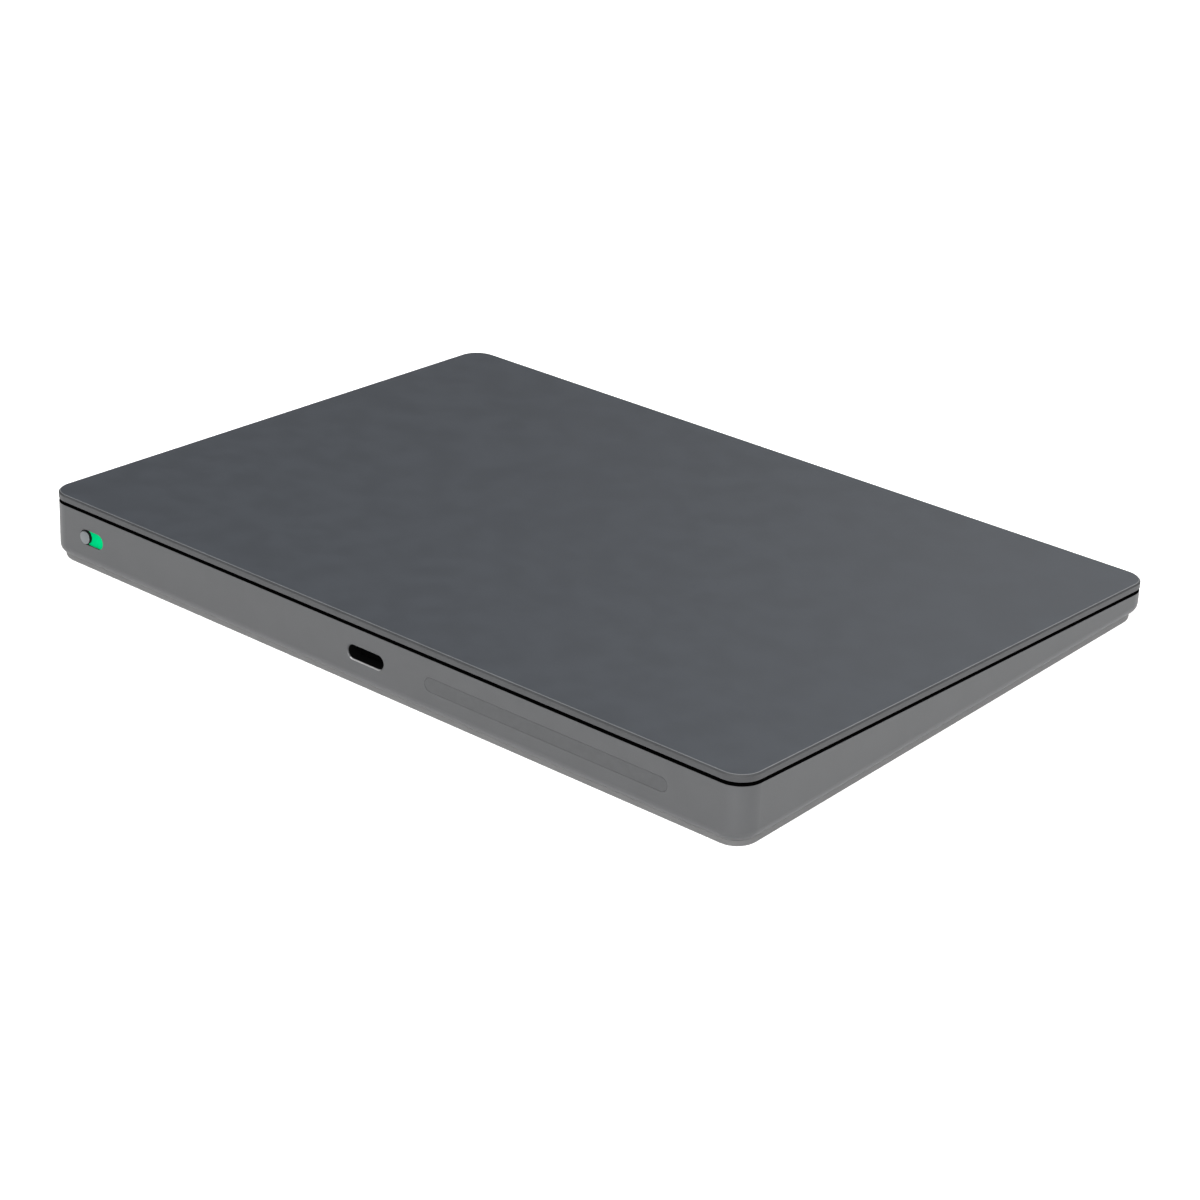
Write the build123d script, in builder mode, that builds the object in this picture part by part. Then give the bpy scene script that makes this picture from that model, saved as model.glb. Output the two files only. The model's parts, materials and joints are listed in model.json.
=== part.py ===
"""Wireless multi-touch pad: a wedge-shaped aluminium tub with a floating glass plate.

Origin on the table, under the middle of the pad. +X is the user's right, +Y is the tall rear edge
with the switch, the charging port and the antenna window, and +Z is up. Millimetres.

Most pieces are laid out in the frame of the sloping deck: u across, v up the slope, and w square
to the glass, with w = 0 on top of it. The tub's floor and the pad under it are level.
"""

import os
from math import cos, radians, sin, tan

from build123d import *

# ---------------------------------------------------------------- overall size
width = 160.0
depth = 110.6  # along the slope of the deck
slope = radians(3.17)
deck_height = 9.85  # top of the glass above the table, at the middle
corner_radius = 4.3
smallest_corner = 1.0  # radius kept by outlines that are brought far in

# ---------------------------------------------------------------- shells
glass_thickness = 1.26
glass_chamfer = 0.3
glass_gap = 0.68  # open slit between the glass and the tub
tub_setback = 0.04  # the glass stands out this far over the tub's walls
wall = 1.2
floor_thickness = 0.9
tub_lower_radius = 2.0
pad_thickness = 0.9
pad_side_inset = 0.66  # the pad stands in from the tub's outline, most of all at the front
pad_rear_inset = 0.96
pad_front_inset = 1.75
pad_corner_radius = 4.1
pad_edge_radius = 0.65

# ---------------------------------------------------------------- layers between glass and tub
gasket_thickness = 0.36
gasket_outer_inset = 0.1
gasket_inner_inset = 2.0
stack_inset = 2.6
film_thickness = 0.1
sensor_thickness = 0.6
stiffener_thickness = 0.4
controller_size = (9.0, 9.0)
controller_height = 0.8
controller_middle = (-25.0, -25.0)
controller_window = (14.0, 14.0)
sensor_socket_size = (14.0, 4.0)
sensor_socket_height = 0.9
sensor_socket_middle = (-30.0, 33.0)
sensor_socket_window = (18.0, 7.0)
window_corner = 1.5  # corners of both windows in the stiffener
force_pad_thickness = 0.4
force_pad_radius = 2.6
carrier_thickness = 0.4
carrier_outer = (132.0, 96.0)
carrier_inner = (118.0, 82.0)
carrier_outer_corner = 4.0
carrier_inner_corner = 3.0
crossbar_middle = 7.0
crossbar_width = 12.0
leaf_thickness = 0.3
gauge_size = (5.0, 1.8)
gauge_thickness = 0.06

# ---------------------------------------------------------------- rear face
feature_w = -6.4  # middle line of the port and the window
port_width = 8.34
port_height = 2.56
port_lip = 0.16  # bevel around the mouth
port_land = 0.35  # depth of aluminium in front of the port's shell
port_shell_inside = 7.3  # length of the shell behind the wall
port_metal = 0.3
port_fit = 0.03  # all round, between the shell and its seat in the wall
tongue_setback = 1.3
tongue_width = 6.69
tongue_thickness = 0.7
tongue_root_length = 1.2
tongue_bevel = 0.15
tongue_clearance = 0.05
contact_count = 12
contact_pitch = 0.5
contact_size = (0.26, 3.8, 0.04)
contact_setback = 0.5  # behind the tongue's tip
window_from = -65.3
window_to = -13.6
window_height = 2.55
window_clearance = 0.04
window_flange = 1.0
window_flange_thickness = 0.5
antenna_size = (48.0, 2.4)
antenna_corner = 0.6
antenna_rise = 0.2
switch_from = 65.55
switch_to = 71.55
switch_height = 2.85
switch_w = -6.33
knob_on_u = 70.1
knob_diameter = 2.45
knob_proud = 0.41
switch_travel = 3.1
switch_skin = 0.3  # the wall is pocketed from inside down to this thickness
slider_half_length = 4.9
slider_thickness = 0.7
slider_height = 3.6
slider_corner = 0.3
slider_clearance = 0.05
pocket_margin = 0.3
indicator_depth = 0.15
indicator_edge = 0.2  # of slider left at the marker's ends and sides
knob_edge_radius = 0.16
knob_overlap = 0.3  # the marker runs this far under the knob
switch_body_low = (60.5, -8.6)
switch_body_high = (75.6, -4.2)
switch_body_depth = 2.4
switch_track_end = 1.5
switch_track_depth = 0.35
switch_track_w = (-7.0, -5.8)

# ---------------------------------------------------------------- inside
leaf_spot = (63.0, 44.0)  # middle of each corner flexure
leaf_size = (22.0, 8.0)
leaf_corner = 1.5
leaf_slot_size = (11.0, 1.2)
leaf_slot_spread = 1.6  # each slot lies this far beside the middle line
leaf_free_clearance = 0.2
leaf_fixed_reach = 8.0  # from the leaf's middle out to its clamping screw
leaf_free_reach = -8.0  # and in to the screw that holds the carrier
force_pad_spot = (44.0, 44.5)
boss_radius = 1.6
leaf_boss_radius = 2.4
deep_hole = 1.5
shallow_hole = 1.1
screw_end_gap = 0.2  # between a screw's tip and the end of its hole
screw_clearance = 0.05
shank_radius = 0.7
head_radius = 1.4
head_height = 0.55
access_radius = 2.3
board_top_w = -7.98
board_thickness = 0.8
board_from = (-52.0, 38.5)
board_to = (30.0, 53.2)
shield_metal = 0.2
shield_corner = 0.8
socket_height = 1.3
ribbon_thickness = 0.15
ribbon_bend = 1.0
cell_size = (41.0, 40.0, 4.2)
cell_edge_radius = 1.4
cell_middles = (-37.5, 35.5)
cell_middle_v = 14.0
adhesive_thickness = 0.2
adhesive_width = 8.0
adhesive_spread = 12.0  # from the cell's middle to each strip
adhesive_inset = 3.0
battery_board_v = (28.6, 33.2)
battery_board_thickness = 0.8
core_middle = (-3.5, 8.0)
core_size = (17.0, 34.0, 2.8)
core_top_w = -3.9
yoke_width = 6.0
pole_width = 5.0
pole_height = 2.0
pole_pitch = 12.5
coil_size = (9.0, 8.0, 2.8)
coil_corner = 0.6
coil_setback = 0.6  # from the yoke
coil_bore_clearance = 0.05
air_gap = 0.35
armature_size = (3.5, 34.0, 3.1)
bracket_thickness = 0.3
bracket_from = (-16.4, -11.0)
bracket_to = (13.4, 27.0)

# ---------------------------------------------------------------- derived levels and frames
rim_w = -(glass_thickness + glass_gap)
film_w = -glass_thickness
sensor_w = film_w - film_thickness
stiffener_w = sensor_w - sensor_thickness
force_pad_w = stiffener_w - stiffener_thickness
carrier_w = force_pad_w - force_pad_thickness
leaf_w = carrier_w - carrier_thickness
leaf_bottom_w = leaf_w - leaf_thickness
bracket_w = core_top_w - core_size[2]
bracket_bottom_w = bracket_w - bracket_thickness
board_bottom_w = board_top_w - board_thickness
socket_top_w = board_top_w + socket_height
floor_top_z = pad_thickness + floor_thickness

wall_v = depth / 2 - tub_setback  # outer face of the rear wall
wall_inner_v = wall_v - wall
knob_face_v = wall_v + knob_proud
port_mouth_v = wall_v - port_land
slider_v = wall_v - switch_skin - slider_clearance
rear_reach = knob_face_v * cos(slope) - switch_w * sin(slope)
front_reach = depth / 2 * cos(slope) - glass_chamfer * sin(slope)
deck_y = (front_reach - rear_reach) / 2  # centres the whole pad on the origin

deck = Plane(
    origin=(0, deck_y, deck_height),
    x_dir=(1, 0, 0),
    z_dir=(0, -sin(slope), cos(slope)),
)
deck_normal = Axis(deck.origin, deck.z_dir)
rear_normal = Axis(deck.origin, deck.y_dir)


def rear_plane(v):
    """Gives a plane square to the slope at v, seen from behind: its x runs to -X, its y up w."""
    return Plane(
        origin=deck.from_local_coords((0, v, 0)), x_dir=(-1, 0, 0), z_dir=deck.y_dir
    )


def deck_outline(inset, mode=Mode.ADD):
    """Draws the deck's rounded outline, brought in by inset, in the sketch that is open."""
    radius = max(corner_radius - inset, smallest_corner)
    RectangleRounded(width - 2 * inset, depth - 2 * inset, radius, mode=mode)


def box_between(low, high, mode=Mode.ADD):
    """Adds a box between two opposite corners, in the frame of the part that is open."""
    size = [b - a for a, b in zip(low, high)]
    with Locations(tuple((a + b) / 2 for a, b in zip(low, high))):
        Box(*size, mode=mode)


def corners(u, v):
    """Gives the four mirrored places of a fitting that stands once in each corner."""
    return [(side * u, end * v) for end in (1, -1) for side in (1, -1)]


def down_from(spots, w, radius, length, mode=Mode.ADD):
    """Adds round pillars that hang down from level w at each (u, v) in the part that is open."""
    with Locations([(u, v, w) for u, v in spots]):
        Cylinder(radius, length, align=(Align.CENTER, Align.CENTER, Align.MAX), mode=mode)


def rear_slot(middle_u, middle_w, length, height):
    """Draws a round-ended slot in the sketch that is open on a rear plane."""
    with Locations((-middle_u, middle_w)):
        SlotOverall(length, height)


os.makedirs("parts", exist_ok=True)

leaf_clamps = corners(leaf_spot[0] + leaf_fixed_reach, leaf_spot[1])
leaf_ends = corners(leaf_spot[0] + leaf_free_reach, leaf_spot[1])
board_screw_spots = [(-48.0, 41.5), (26.5, 41.5), (-48.0, 50.4), (26.5, 50.4)]
bracket_screw_spots = [(-14.7, -9.0), (11.7, -9.0), (-14.7, 25.0), (11.7, 25.0)]
window_middle = (window_from + window_to) / 2
window_length = window_to - window_from
switch_middle = (switch_from + switch_to) / 2
switch_length = switch_to - switch_from
port_shell_outer = (port_width + 2 * port_metal, port_height + 2 * port_metal)
on_plane = 0.01  # an edge this near a plane lies in it

# ================================================================ floating glass plate
with BuildPart() as touch_glass:
    with BuildSketch(deck):
        deck_outline(0)
    extrude(amount=-glass_thickness)
    chamfer(touch_glass.faces().sort_by(deck_normal)[-1].edges(), length=glass_chamfer)
touch_glass.part.label = "touch_glass"
export_step(touch_glass.part, "parts/touch_glass.step")

with BuildPart() as bond_film:
    with BuildSketch(deck.offset(film_w)):
        deck_outline(stack_inset)
    extrude(amount=-film_thickness)
bond_film.part.label = "bond_film"
export_step(bond_film.part, "parts/bond_film.step")

with BuildPart() as sensor_board:
    with BuildSketch(deck.offset(sensor_w)):
        deck_outline(stack_inset)
    extrude(amount=-sensor_thickness)
sensor_board.part.label = "sensor_board"
export_step(sensor_board.part, "parts/sensor_board.step")

with BuildPart() as stiffener_plate:
    with BuildSketch(deck.offset(stiffener_w)):
        deck_outline(stack_inset)
        with Locations(controller_middle):
            RectangleRounded(*controller_window, window_corner, mode=Mode.SUBTRACT)
        with Locations(sensor_socket_middle):
            RectangleRounded(*sensor_socket_window, window_corner, mode=Mode.SUBTRACT)
    extrude(amount=-stiffener_thickness)
stiffener_plate.part.label = "stiffener_plate"
export_step(stiffener_plate.part, "parts/stiffener_plate.step")

with BuildPart() as touch_controller:
    with BuildSketch(deck.offset(stiffener_w)):
        with Locations(controller_middle):
            Rectangle(*controller_size)
    extrude(amount=-controller_height)
touch_controller.part.label = "touch_controller"
export_step(touch_controller.part, "parts/touch_controller.step")

with BuildPart() as sensor_socket:
    with BuildSketch(deck.offset(stiffener_w)):
        with Locations(sensor_socket_middle):
            Rectangle(*sensor_socket_size)
    extrude(amount=-sensor_socket_height)
sensor_socket.part.label = "sensor_socket"
export_step(sensor_socket.part, "parts/sensor_socket.step")

# ================================================================ carrier under the glass
with BuildPart() as carrier_frame:
    with BuildSketch(deck.offset(carrier_w)):
        RectangleRounded(*carrier_outer, carrier_outer_corner)
        RectangleRounded(*carrier_inner, carrier_inner_corner, mode=Mode.SUBTRACT)
        with Locations((crossbar_middle, 0)):
            Rectangle(crossbar_width, carrier_inner[1] + 2 * carrier_thickness)
        with Locations(leaf_ends):
            Circle(shank_radius + screw_clearance, mode=Mode.SUBTRACT)
    extrude(amount=-carrier_thickness)
carrier_frame.part.label = "carrier_frame"
export_step(carrier_frame.part, "parts/carrier_frame.step")

with BuildPart() as force_pads:
    with BuildSketch(deck.offset(force_pad_w)):
        with Locations(corners(*force_pad_spot)):
            Circle(force_pad_radius)
    extrude(amount=-force_pad_thickness)
force_pads.part.label = "force_pads"
export_step(force_pads.part, "parts/force_pads.step")

core_face_u = core_middle[0] + core_size[0] / 2
armature_middle_u = core_face_u + air_gap + armature_size[0] / 2
with BuildPart(deck) as armature:
    with Locations((armature_middle_u, core_middle[1], leaf_w - armature_size[2] / 2)):
        Box(*armature_size)
armature.part.label = "armature"
export_step(armature.part, "parts/armature.step")

with BuildPart(deck) as carrier_screws:
    down_from(leaf_ends, leaf_bottom_w, head_radius, head_height)
    down_from(leaf_ends, carrier_w, shank_radius, carrier_w - leaf_bottom_w)
carrier_screws.part.label = "carrier_screws"
export_step(carrier_screws.part, "parts/carrier_screws.step")

# ================================================================ aluminium tub
with BuildPart() as cavity:
    with BuildSketch(deck):
        deck_outline(tub_setback + wall)
    extrude(amount=-2 * deck_height)
    split(bisect_by=Plane.XY.offset(floor_top_z), keep=Keep.TOP)

boss_groups = [  # (places, level of the top, radius, depth of the screw hole)
    (leaf_clamps, leaf_bottom_w, leaf_boss_radius, deep_hole),
    (board_screw_spots, board_bottom_w, boss_radius, deep_hole),
    (bracket_screw_spots, bracket_bottom_w, boss_radius, shallow_hole),
]
with BuildPart(deck) as bosses:
    for spots, top_w, radius, _ in boss_groups:
        down_from(spots, top_w, radius, deck_height)
    split(bisect_by=Plane.XY.offset(floor_top_z - floor_thickness / 2), keep=Keep.TOP)

with BuildPart(deck) as screw_holes:
    for spots, top_w, _, hole_depth in boss_groups:
        down_from(spots, top_w, shank_radius + screw_clearance, hole_depth)

pocket_low_u = knob_on_u - switch_travel - slider_half_length - pocket_margin
pocket_high_u = knob_on_u + slider_half_length + pocket_margin
with BuildPart() as housing:
    with BuildSketch(deck.offset(rim_w)):
        deck_outline(tub_setback)
    extrude(amount=-2 * deck_height)
    split(bisect_by=Plane.XY.offset(pad_thickness), keep=Keep.TOP)
    fillet(housing.faces().sort_by(Axis.Z)[0].edges(), radius=tub_lower_radius)
    add(cavity.part, mode=Mode.SUBTRACT)
    add(bosses.part)
    add(screw_holes.part, mode=Mode.SUBTRACT)
    with BuildSketch(rear_plane(wall_v)):
        rear_slot(0, feature_w, port_width, port_height)
        rear_slot(window_middle, feature_w, window_length, window_height)
        rear_slot(switch_middle, switch_w, switch_length, switch_height)
    extrude(amount=-wall, mode=Mode.SUBTRACT)
    rear_face_edges = housing.edges().filter_by_position(
        rear_normal, wall_v - on_plane, wall_v + on_plane
    )
    port_rim = rear_face_edges.filter_by(
        lambda edge: abs(edge.center().X) <= port_width / 2
        and abs(deck.to_local_coords(edge.center()).Z - feature_w) < port_height
    )
    chamfer(port_rim, length=port_lip)
    with BuildSketch(rear_plane(port_mouth_v)):
        rear_slot(0, feature_w, *(size + 2 * port_fit for size in port_shell_outer))
    extrude(amount=port_land - wall, mode=Mode.SUBTRACT)
    with BuildSketch(rear_plane(wall_inner_v)):
        with Locations((-(pocket_low_u + pocket_high_u) / 2, switch_w)):
            Rectangle(pocket_high_u - pocket_low_u, slider_height + 2 * pocket_margin)
    extrude(amount=wall - switch_skin, mode=Mode.SUBTRACT)
    with BuildSketch(Plane.XY.offset(pad_thickness)):
        with Locations([deck.from_local_coords((u, v, -deck_height)) for u, v in leaf_ends]):
            Circle(access_radius)
    extrude(amount=floor_thickness, mode=Mode.SUBTRACT)
housing.part.label = "housing"
export_step(housing.part, "parts/housing.step")

tub_middle_y = deck_y + (deck_height - pad_thickness / 2) * tan(slope)
pad_middle_y = tub_middle_y + (pad_front_inset - pad_rear_inset) / 2
pad_depth = depth / cos(slope) - pad_front_inset - pad_rear_inset
with BuildPart() as base_pad:
    with BuildSketch(Plane.XY):
        with Locations((0, pad_middle_y)):
            RectangleRounded(width - 2 * pad_side_inset, pad_depth, pad_corner_radius)
    extrude(amount=pad_thickness)
    fillet(base_pad.faces().sort_by(Axis.Z)[0].edges(), radius=pad_edge_radius)
base_pad.part.label = "base_pad"
export_step(base_pad.part, "parts/base_pad.step")

with BuildPart() as gap_gasket:
    with BuildSketch(deck.offset(rim_w)):
        deck_outline(gasket_outer_inset)
        deck_outline(gasket_inner_inset, mode=Mode.SUBTRACT)
    extrude(amount=gasket_thickness)
gap_gasket.part.label = "gap_gasket"
export_step(gap_gasket.part, "parts/gap_gasket.step")

# ================================================================ antenna window
with BuildPart() as antenna_window:
    with BuildSketch(rear_plane(wall_v)):
        rear_slot(
            window_middle,
            feature_w,
            window_length - 2 * window_clearance,
            window_height - 2 * window_clearance,
        )
    extrude(amount=-wall)
    with BuildSketch(rear_plane(wall_inner_v)):
        rear_slot(
            window_middle,
            feature_w,
            window_length + 2 * window_flange,
            window_height + 2 * window_flange,
        )
    extrude(amount=-window_flange_thickness)
antenna_window.part.label = "antenna_window"
export_step(antenna_window.part, "parts/antenna_window.step")

with BuildPart() as antenna_flex:
    with BuildSketch(rear_plane(wall_inner_v - window_flange_thickness)):
        with Locations((-window_middle, feature_w + antenna_rise)):
            RectangleRounded(*antenna_size, antenna_corner)
    extrude(amount=-ribbon_thickness)
antenna_flex.part.label = "antenna_flex"
export_step(antenna_flex.part, "parts/antenna_flex.step")

# ================================================================ charging port
port_back_v = wall_inner_v - port_shell_inside
with BuildPart() as usb_c_shell:
    with BuildSketch(rear_plane(port_mouth_v)):
        rear_slot(0, feature_w, *port_shell_outer)
    extrude(amount=port_back_v - port_mouth_v)
    with BuildSketch(rear_plane(port_mouth_v)):
        rear_slot(0, feature_w, port_width, port_height)
    extrude(amount=port_back_v + port_metal - port_mouth_v, mode=Mode.SUBTRACT)
usb_c_shell.part.label = "usb_c_shell"
export_step(usb_c_shell.part, "parts/usb_c_shell.step")

tongue_tip_v = wall_v - tongue_setback
tongue_root_v = port_back_v + port_metal
with BuildPart() as usb_c_tongue:
    with BuildSketch(rear_plane(tongue_root_v)):
        rear_slot(
            0, feature_w, port_width - 2 * tongue_clearance, port_height - 2 * tongue_clearance
        )
    extrude(amount=tongue_root_length)
    with BuildSketch(rear_plane(tongue_root_v)):
        with Locations((0, feature_w)):
            Rectangle(tongue_width, tongue_thickness)
    extrude(amount=tongue_tip_v - tongue_root_v)
    tip = usb_c_tongue.faces().sort_by(rear_normal)[-1]
    chamfer(tip.edges().filter_by(Axis.X), length=tongue_bevel)
usb_c_tongue.part.label = "usb_c_tongue"
export_step(usb_c_tongue.part, "parts/usb_c_tongue.step")

contact_middle_v = tongue_tip_v - contact_setback - contact_size[1] / 2
with BuildPart(deck) as usb_c_contacts:
    for place in range(contact_count):
        contact_u = (place - (contact_count - 1) / 2) * contact_pitch
        for side in (1, -1):
            contact_w = feature_w + side * (tongue_thickness + contact_size[2]) / 2
            with Locations((contact_u, contact_middle_v, contact_w)):
                Box(*contact_size)
usb_c_contacts.part.label = "usb_c_contacts"
export_step(usb_c_contacts.part, "parts/usb_c_contacts.step")

# ================================================================ power switch
indicator_from = knob_on_u - slider_half_length + indicator_edge
indicator_to = knob_on_u - 2 * indicator_edge
indicator_height = slider_height - 2 * indicator_edge
with BuildPart() as switch_slider:
    with BuildSketch(rear_plane(slider_v)):
        with Locations((-knob_on_u, switch_w)):
            RectangleRounded(2 * slider_half_length, slider_height, slider_corner)
    extrude(amount=-slider_thickness)
    with BuildSketch(rear_plane(slider_v)):
        with Locations((-(indicator_from + indicator_to) / 2, switch_w)):
            Rectangle(indicator_to - indicator_from, indicator_height)
    extrude(amount=-indicator_depth, mode=Mode.SUBTRACT)
switch_slider.part.label = "switch_slider"
export_step(switch_slider.part, "parts/switch_slider.step")

with BuildPart() as on_indicator:
    with BuildSketch(rear_plane(slider_v)):
        with Locations((-(indicator_from + indicator_to) / 2, switch_w)):
            Rectangle(indicator_to - indicator_from, indicator_height)
        with Locations((-knob_on_u, switch_w)):
            Circle(knob_diameter / 2 - knob_overlap, mode=Mode.SUBTRACT)
    extrude(amount=-indicator_depth)
on_indicator.part.label = "on_indicator"
export_step(on_indicator.part, "parts/on_indicator.step")

with BuildPart() as switch_knob:
    with BuildSketch(rear_plane(slider_v)):
        with Locations((-knob_on_u, switch_w)):
            Circle(knob_diameter / 2)
    extrude(amount=knob_face_v - slider_v)
    knob_rim = switch_knob.faces().sort_by(rear_normal)[-1].edges()
    fillet(knob_rim, radius=knob_edge_radius)
switch_knob.part.label = "switch_knob"
export_step(switch_knob.part, "parts/switch_knob.step")

with BuildPart(deck) as switch_body:
    box_between(
        (switch_body_low[0], wall_inner_v - switch_body_depth, switch_body_low[1]),
        (switch_body_high[0], wall_inner_v, switch_body_high[1]),
    )
    box_between(
        (switch_body_low[0] + switch_track_end, wall_inner_v - switch_track_depth, switch_track_w[0]),
        (switch_body_high[0] - switch_track_end, wall_inner_v, switch_track_w[1]),
        mode=Mode.SUBTRACT,
    )
switch_body.part.label = "switch_body"
export_step(switch_body.part, "parts/switch_body.step")

lead_top_w = board_top_w + ribbon_thickness
lead_end_u = switch_body_low[0]
with BuildPart(deck) as switch_lead:  # runs along the board's end, then turns up to the switch
    box_between((26.5, 44.0, board_top_w), (lead_end_u, 46.4, lead_top_w))
    box_between((lead_end_u - 2.3, 46.4, board_top_w), (lead_end_u, 53.4, lead_top_w))
switch_lead.part.label = "switch_lead"
export_step(switch_lead.part, "parts/switch_lead.step")

# ================================================================ logic board
with BuildPart(deck) as logic_board:
    box_between((*board_from, board_bottom_w), (*board_to, board_top_w))
    down_from(
        board_screw_spots,
        board_top_w,
        shank_radius + screw_clearance,
        board_thickness,
        mode=Mode.SUBTRACT,
    )
logic_board.part.label = "logic_board"
export_step(logic_board.part, "parts/logic_board.step")

shields = [  # (name, low corner, high corner, height) on the board
    ("processor_shield", (-21.5, 40.5), (-7.5, 51.5), 1.6),
    ("radio_shield", (-45.0, 44.5), (-34.0, 52.0), 1.4),
]
for shield_name, low, high, height in shields:
    with BuildPart(deck) as shield:
        box_between((*low, board_top_w), (*high, board_top_w + height))
        fillet(shield.edges().filter_by(deck_normal), radius=shield_corner)
        box_between(
            (low[0] + shield_metal, low[1] + shield_metal, board_top_w),
            (high[0] - shield_metal, high[1] - shield_metal, board_top_w + height - shield_metal),
            mode=Mode.SUBTRACT,
        )
    shield.part.label = shield_name
    export_step(shield.part, f"parts/{shield_name}.step")

chips = [  # (low corner, high corner, height) on the board
    ((-18.5, 42.5), (-10.5, 49.5), 0.9),
    ((-42.0, 46.0), (-37.0, 50.5), 0.7),
    ((12.0, 46.0), (18.0, 52.0), 0.9),
    ((20.0, 47.0), (23.5, 50.0), 0.7),
    ((-31.0, 47.5), (-26.0, 51.5), 0.8),
]
with BuildPart(deck) as board_chips:
    for low, high, height in chips:
        box_between((*low, board_top_w), (*high, board_top_w + height))
board_chips.part.label = "board_chips"
export_step(board_chips.part, "parts/board_chips.step")

sockets = [((6.0, 39.2), (12.0, 42.6)), ((-6.0, 39.2), (-1.0, 42.6))]
with BuildPart(deck) as board_sockets:
    for low, high in sockets:
        box_between((*low, board_top_w), (*high, socket_top_w))
board_sockets.part.label = "board_sockets"
export_step(board_sockets.part, "parts/board_sockets.step")

with BuildPart(deck) as board_screws:
    down_from(board_screw_spots, board_top_w + head_height, head_radius, head_height)
    down_from(
        board_screw_spots, board_top_w, shank_radius, board_thickness + deep_hole - screw_end_gap
    )
board_screws.part.label = "board_screws"
export_step(board_screws.part, "parts/board_screws.step")

board_end_w = board_top_w + ribbon_thickness / 2
socket_end_w = stiffener_w - sensor_socket_height - ribbon_thickness / 2
ribbon_route = [  # (v, w) of its middle line, from the board up to the socket on the sensor board
    (44.0, board_end_w), (37.4, board_end_w), (37.4, socket_end_w), (31.2, socket_end_w),
]
ribbon_from, ribbon_to = -36.0, -24.0
with BuildPart() as sensor_ribbon:
    with BuildSketch(
        Plane(
            origin=deck.from_local_coords((ribbon_from, 0, 0)),
            x_dir=deck.y_dir,
            z_dir=(1, 0, 0),
        )
    ):
        with BuildLine():
            FilletPolyline(*ribbon_route, radius=ribbon_bend)
        trace(line_width=ribbon_thickness)
    extrude(amount=ribbon_to - ribbon_from)
sensor_ribbon.part.label = "sensor_ribbon"
export_step(sensor_ribbon.part, "parts/sensor_ribbon.step")

# ================================================================ battery
for side_name, middle_u in zip(("left", "right"), cell_middles):
    with BuildPart(Plane.XY.offset(floor_top_z + adhesive_thickness)) as cell:
        with Locations((middle_u, cell_middle_v, cell_size[2] / 2)):
            Box(*cell_size)
        fillet(cell.edges().filter_by(Axis.Y), radius=cell_edge_radius)
    cell.part.label = f"battery_cell_{side_name}"
    export_step(cell.part, f"parts/battery_cell_{side_name}.step")

with BuildPart(Plane.XY.offset(floor_top_z)) as battery_adhesive:
    for middle_u in cell_middles:
        for strip_v in (-adhesive_spread, adhesive_spread):
            with Locations((middle_u, cell_middle_v + strip_v, adhesive_thickness / 2)):
                Box(cell_size[0] - 2 * adhesive_inset, adhesive_width, adhesive_thickness)
battery_adhesive.part.label = "battery_adhesive"
export_step(battery_adhesive.part, "parts/battery_adhesive.step")

cell_inner_edges = (
    cell_middles[0] + cell_size[0] / 2,
    cell_middles[1] - cell_size[0] / 2,
)
with BuildPart(deck) as battery_board:
    box_between(
        (cell_inner_edges[0], battery_board_v[0], socket_top_w - battery_board_thickness),
        (cell_inner_edges[1], battery_board_v[1], socket_top_w),
    )
battery_board.part.label = "battery_board"
export_step(battery_board.part, "parts/battery_board.step")

with BuildPart(deck) as battery_lead:
    box_between((7.0, 29.2, socket_top_w), (11.0, 42.2, socket_top_w + ribbon_thickness))
battery_lead.part.label = "battery_lead"
export_step(battery_lead.part, "parts/battery_lead.step")

# ================================================================ haptic engine
core_low_u = core_middle[0] - core_size[0] / 2
core_middle_w = core_top_w - core_size[2] / 2
pole_places = [core_middle[1] + place * pole_pitch for place in (-1, 0, 1)]
with BuildPart(deck) as haptic_core:
    box_between(
        (core_low_u, core_middle[1] - core_size[1] / 2, bracket_w),
        (core_low_u + yoke_width, core_middle[1] + core_size[1] / 2, core_top_w),
    )
    for pole_v in pole_places:
        box_between(
            (core_low_u + yoke_width, pole_v - pole_width / 2, core_middle_w - pole_height / 2),
            (core_face_u, pole_v + pole_width / 2, core_middle_w + pole_height / 2),
        )
haptic_core.part.label = "haptic_core"
export_step(haptic_core.part, "parts/haptic_core.step")

coil_low_u = core_low_u + yoke_width + coil_setback
with BuildPart(deck) as haptic_coils:
    for pole_v in pole_places:
        with Locations((coil_low_u + coil_size[0] / 2, pole_v, core_middle_w)):
            Box(*coil_size)
    fillet(haptic_coils.edges().filter_by(Axis.X), radius=coil_corner)
    for pole_v in pole_places:
        with Locations((coil_low_u + coil_size[0] / 2, pole_v, core_middle_w)):
            Box(
                coil_size[0],
                pole_width + 2 * coil_bore_clearance,
                pole_height + 2 * coil_bore_clearance,
                mode=Mode.SUBTRACT,
            )
haptic_coils.part.label = "haptic_coils"
export_step(haptic_coils.part, "parts/haptic_coils.step")

with BuildPart(deck) as haptic_bracket:
    box_between((*bracket_from, bracket_bottom_w), (*bracket_to, bracket_w))
    down_from(
        bracket_screw_spots,
        bracket_w,
        shank_radius + screw_clearance,
        bracket_thickness,
        mode=Mode.SUBTRACT,
    )
haptic_bracket.part.label = "haptic_bracket"
export_step(haptic_bracket.part, "parts/haptic_bracket.step")

with BuildPart(deck) as haptic_screws:
    down_from(bracket_screw_spots, bracket_w + head_height, head_radius, head_height)
    down_from(
        bracket_screw_spots,
        bracket_w,
        shank_radius,
        bracket_thickness + shallow_hole - screw_end_gap,
    )
haptic_screws.part.label = "haptic_screws"
export_step(haptic_screws.part, "parts/haptic_screws.step")

with BuildPart(deck) as haptic_lead:
    box_between((-5.5, 25.1, socket_top_w), (-1.5, 42.2, socket_top_w + ribbon_thickness))
haptic_lead.part.label = "haptic_lead"
export_step(haptic_lead.part, "parts/haptic_lead.step")

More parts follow.
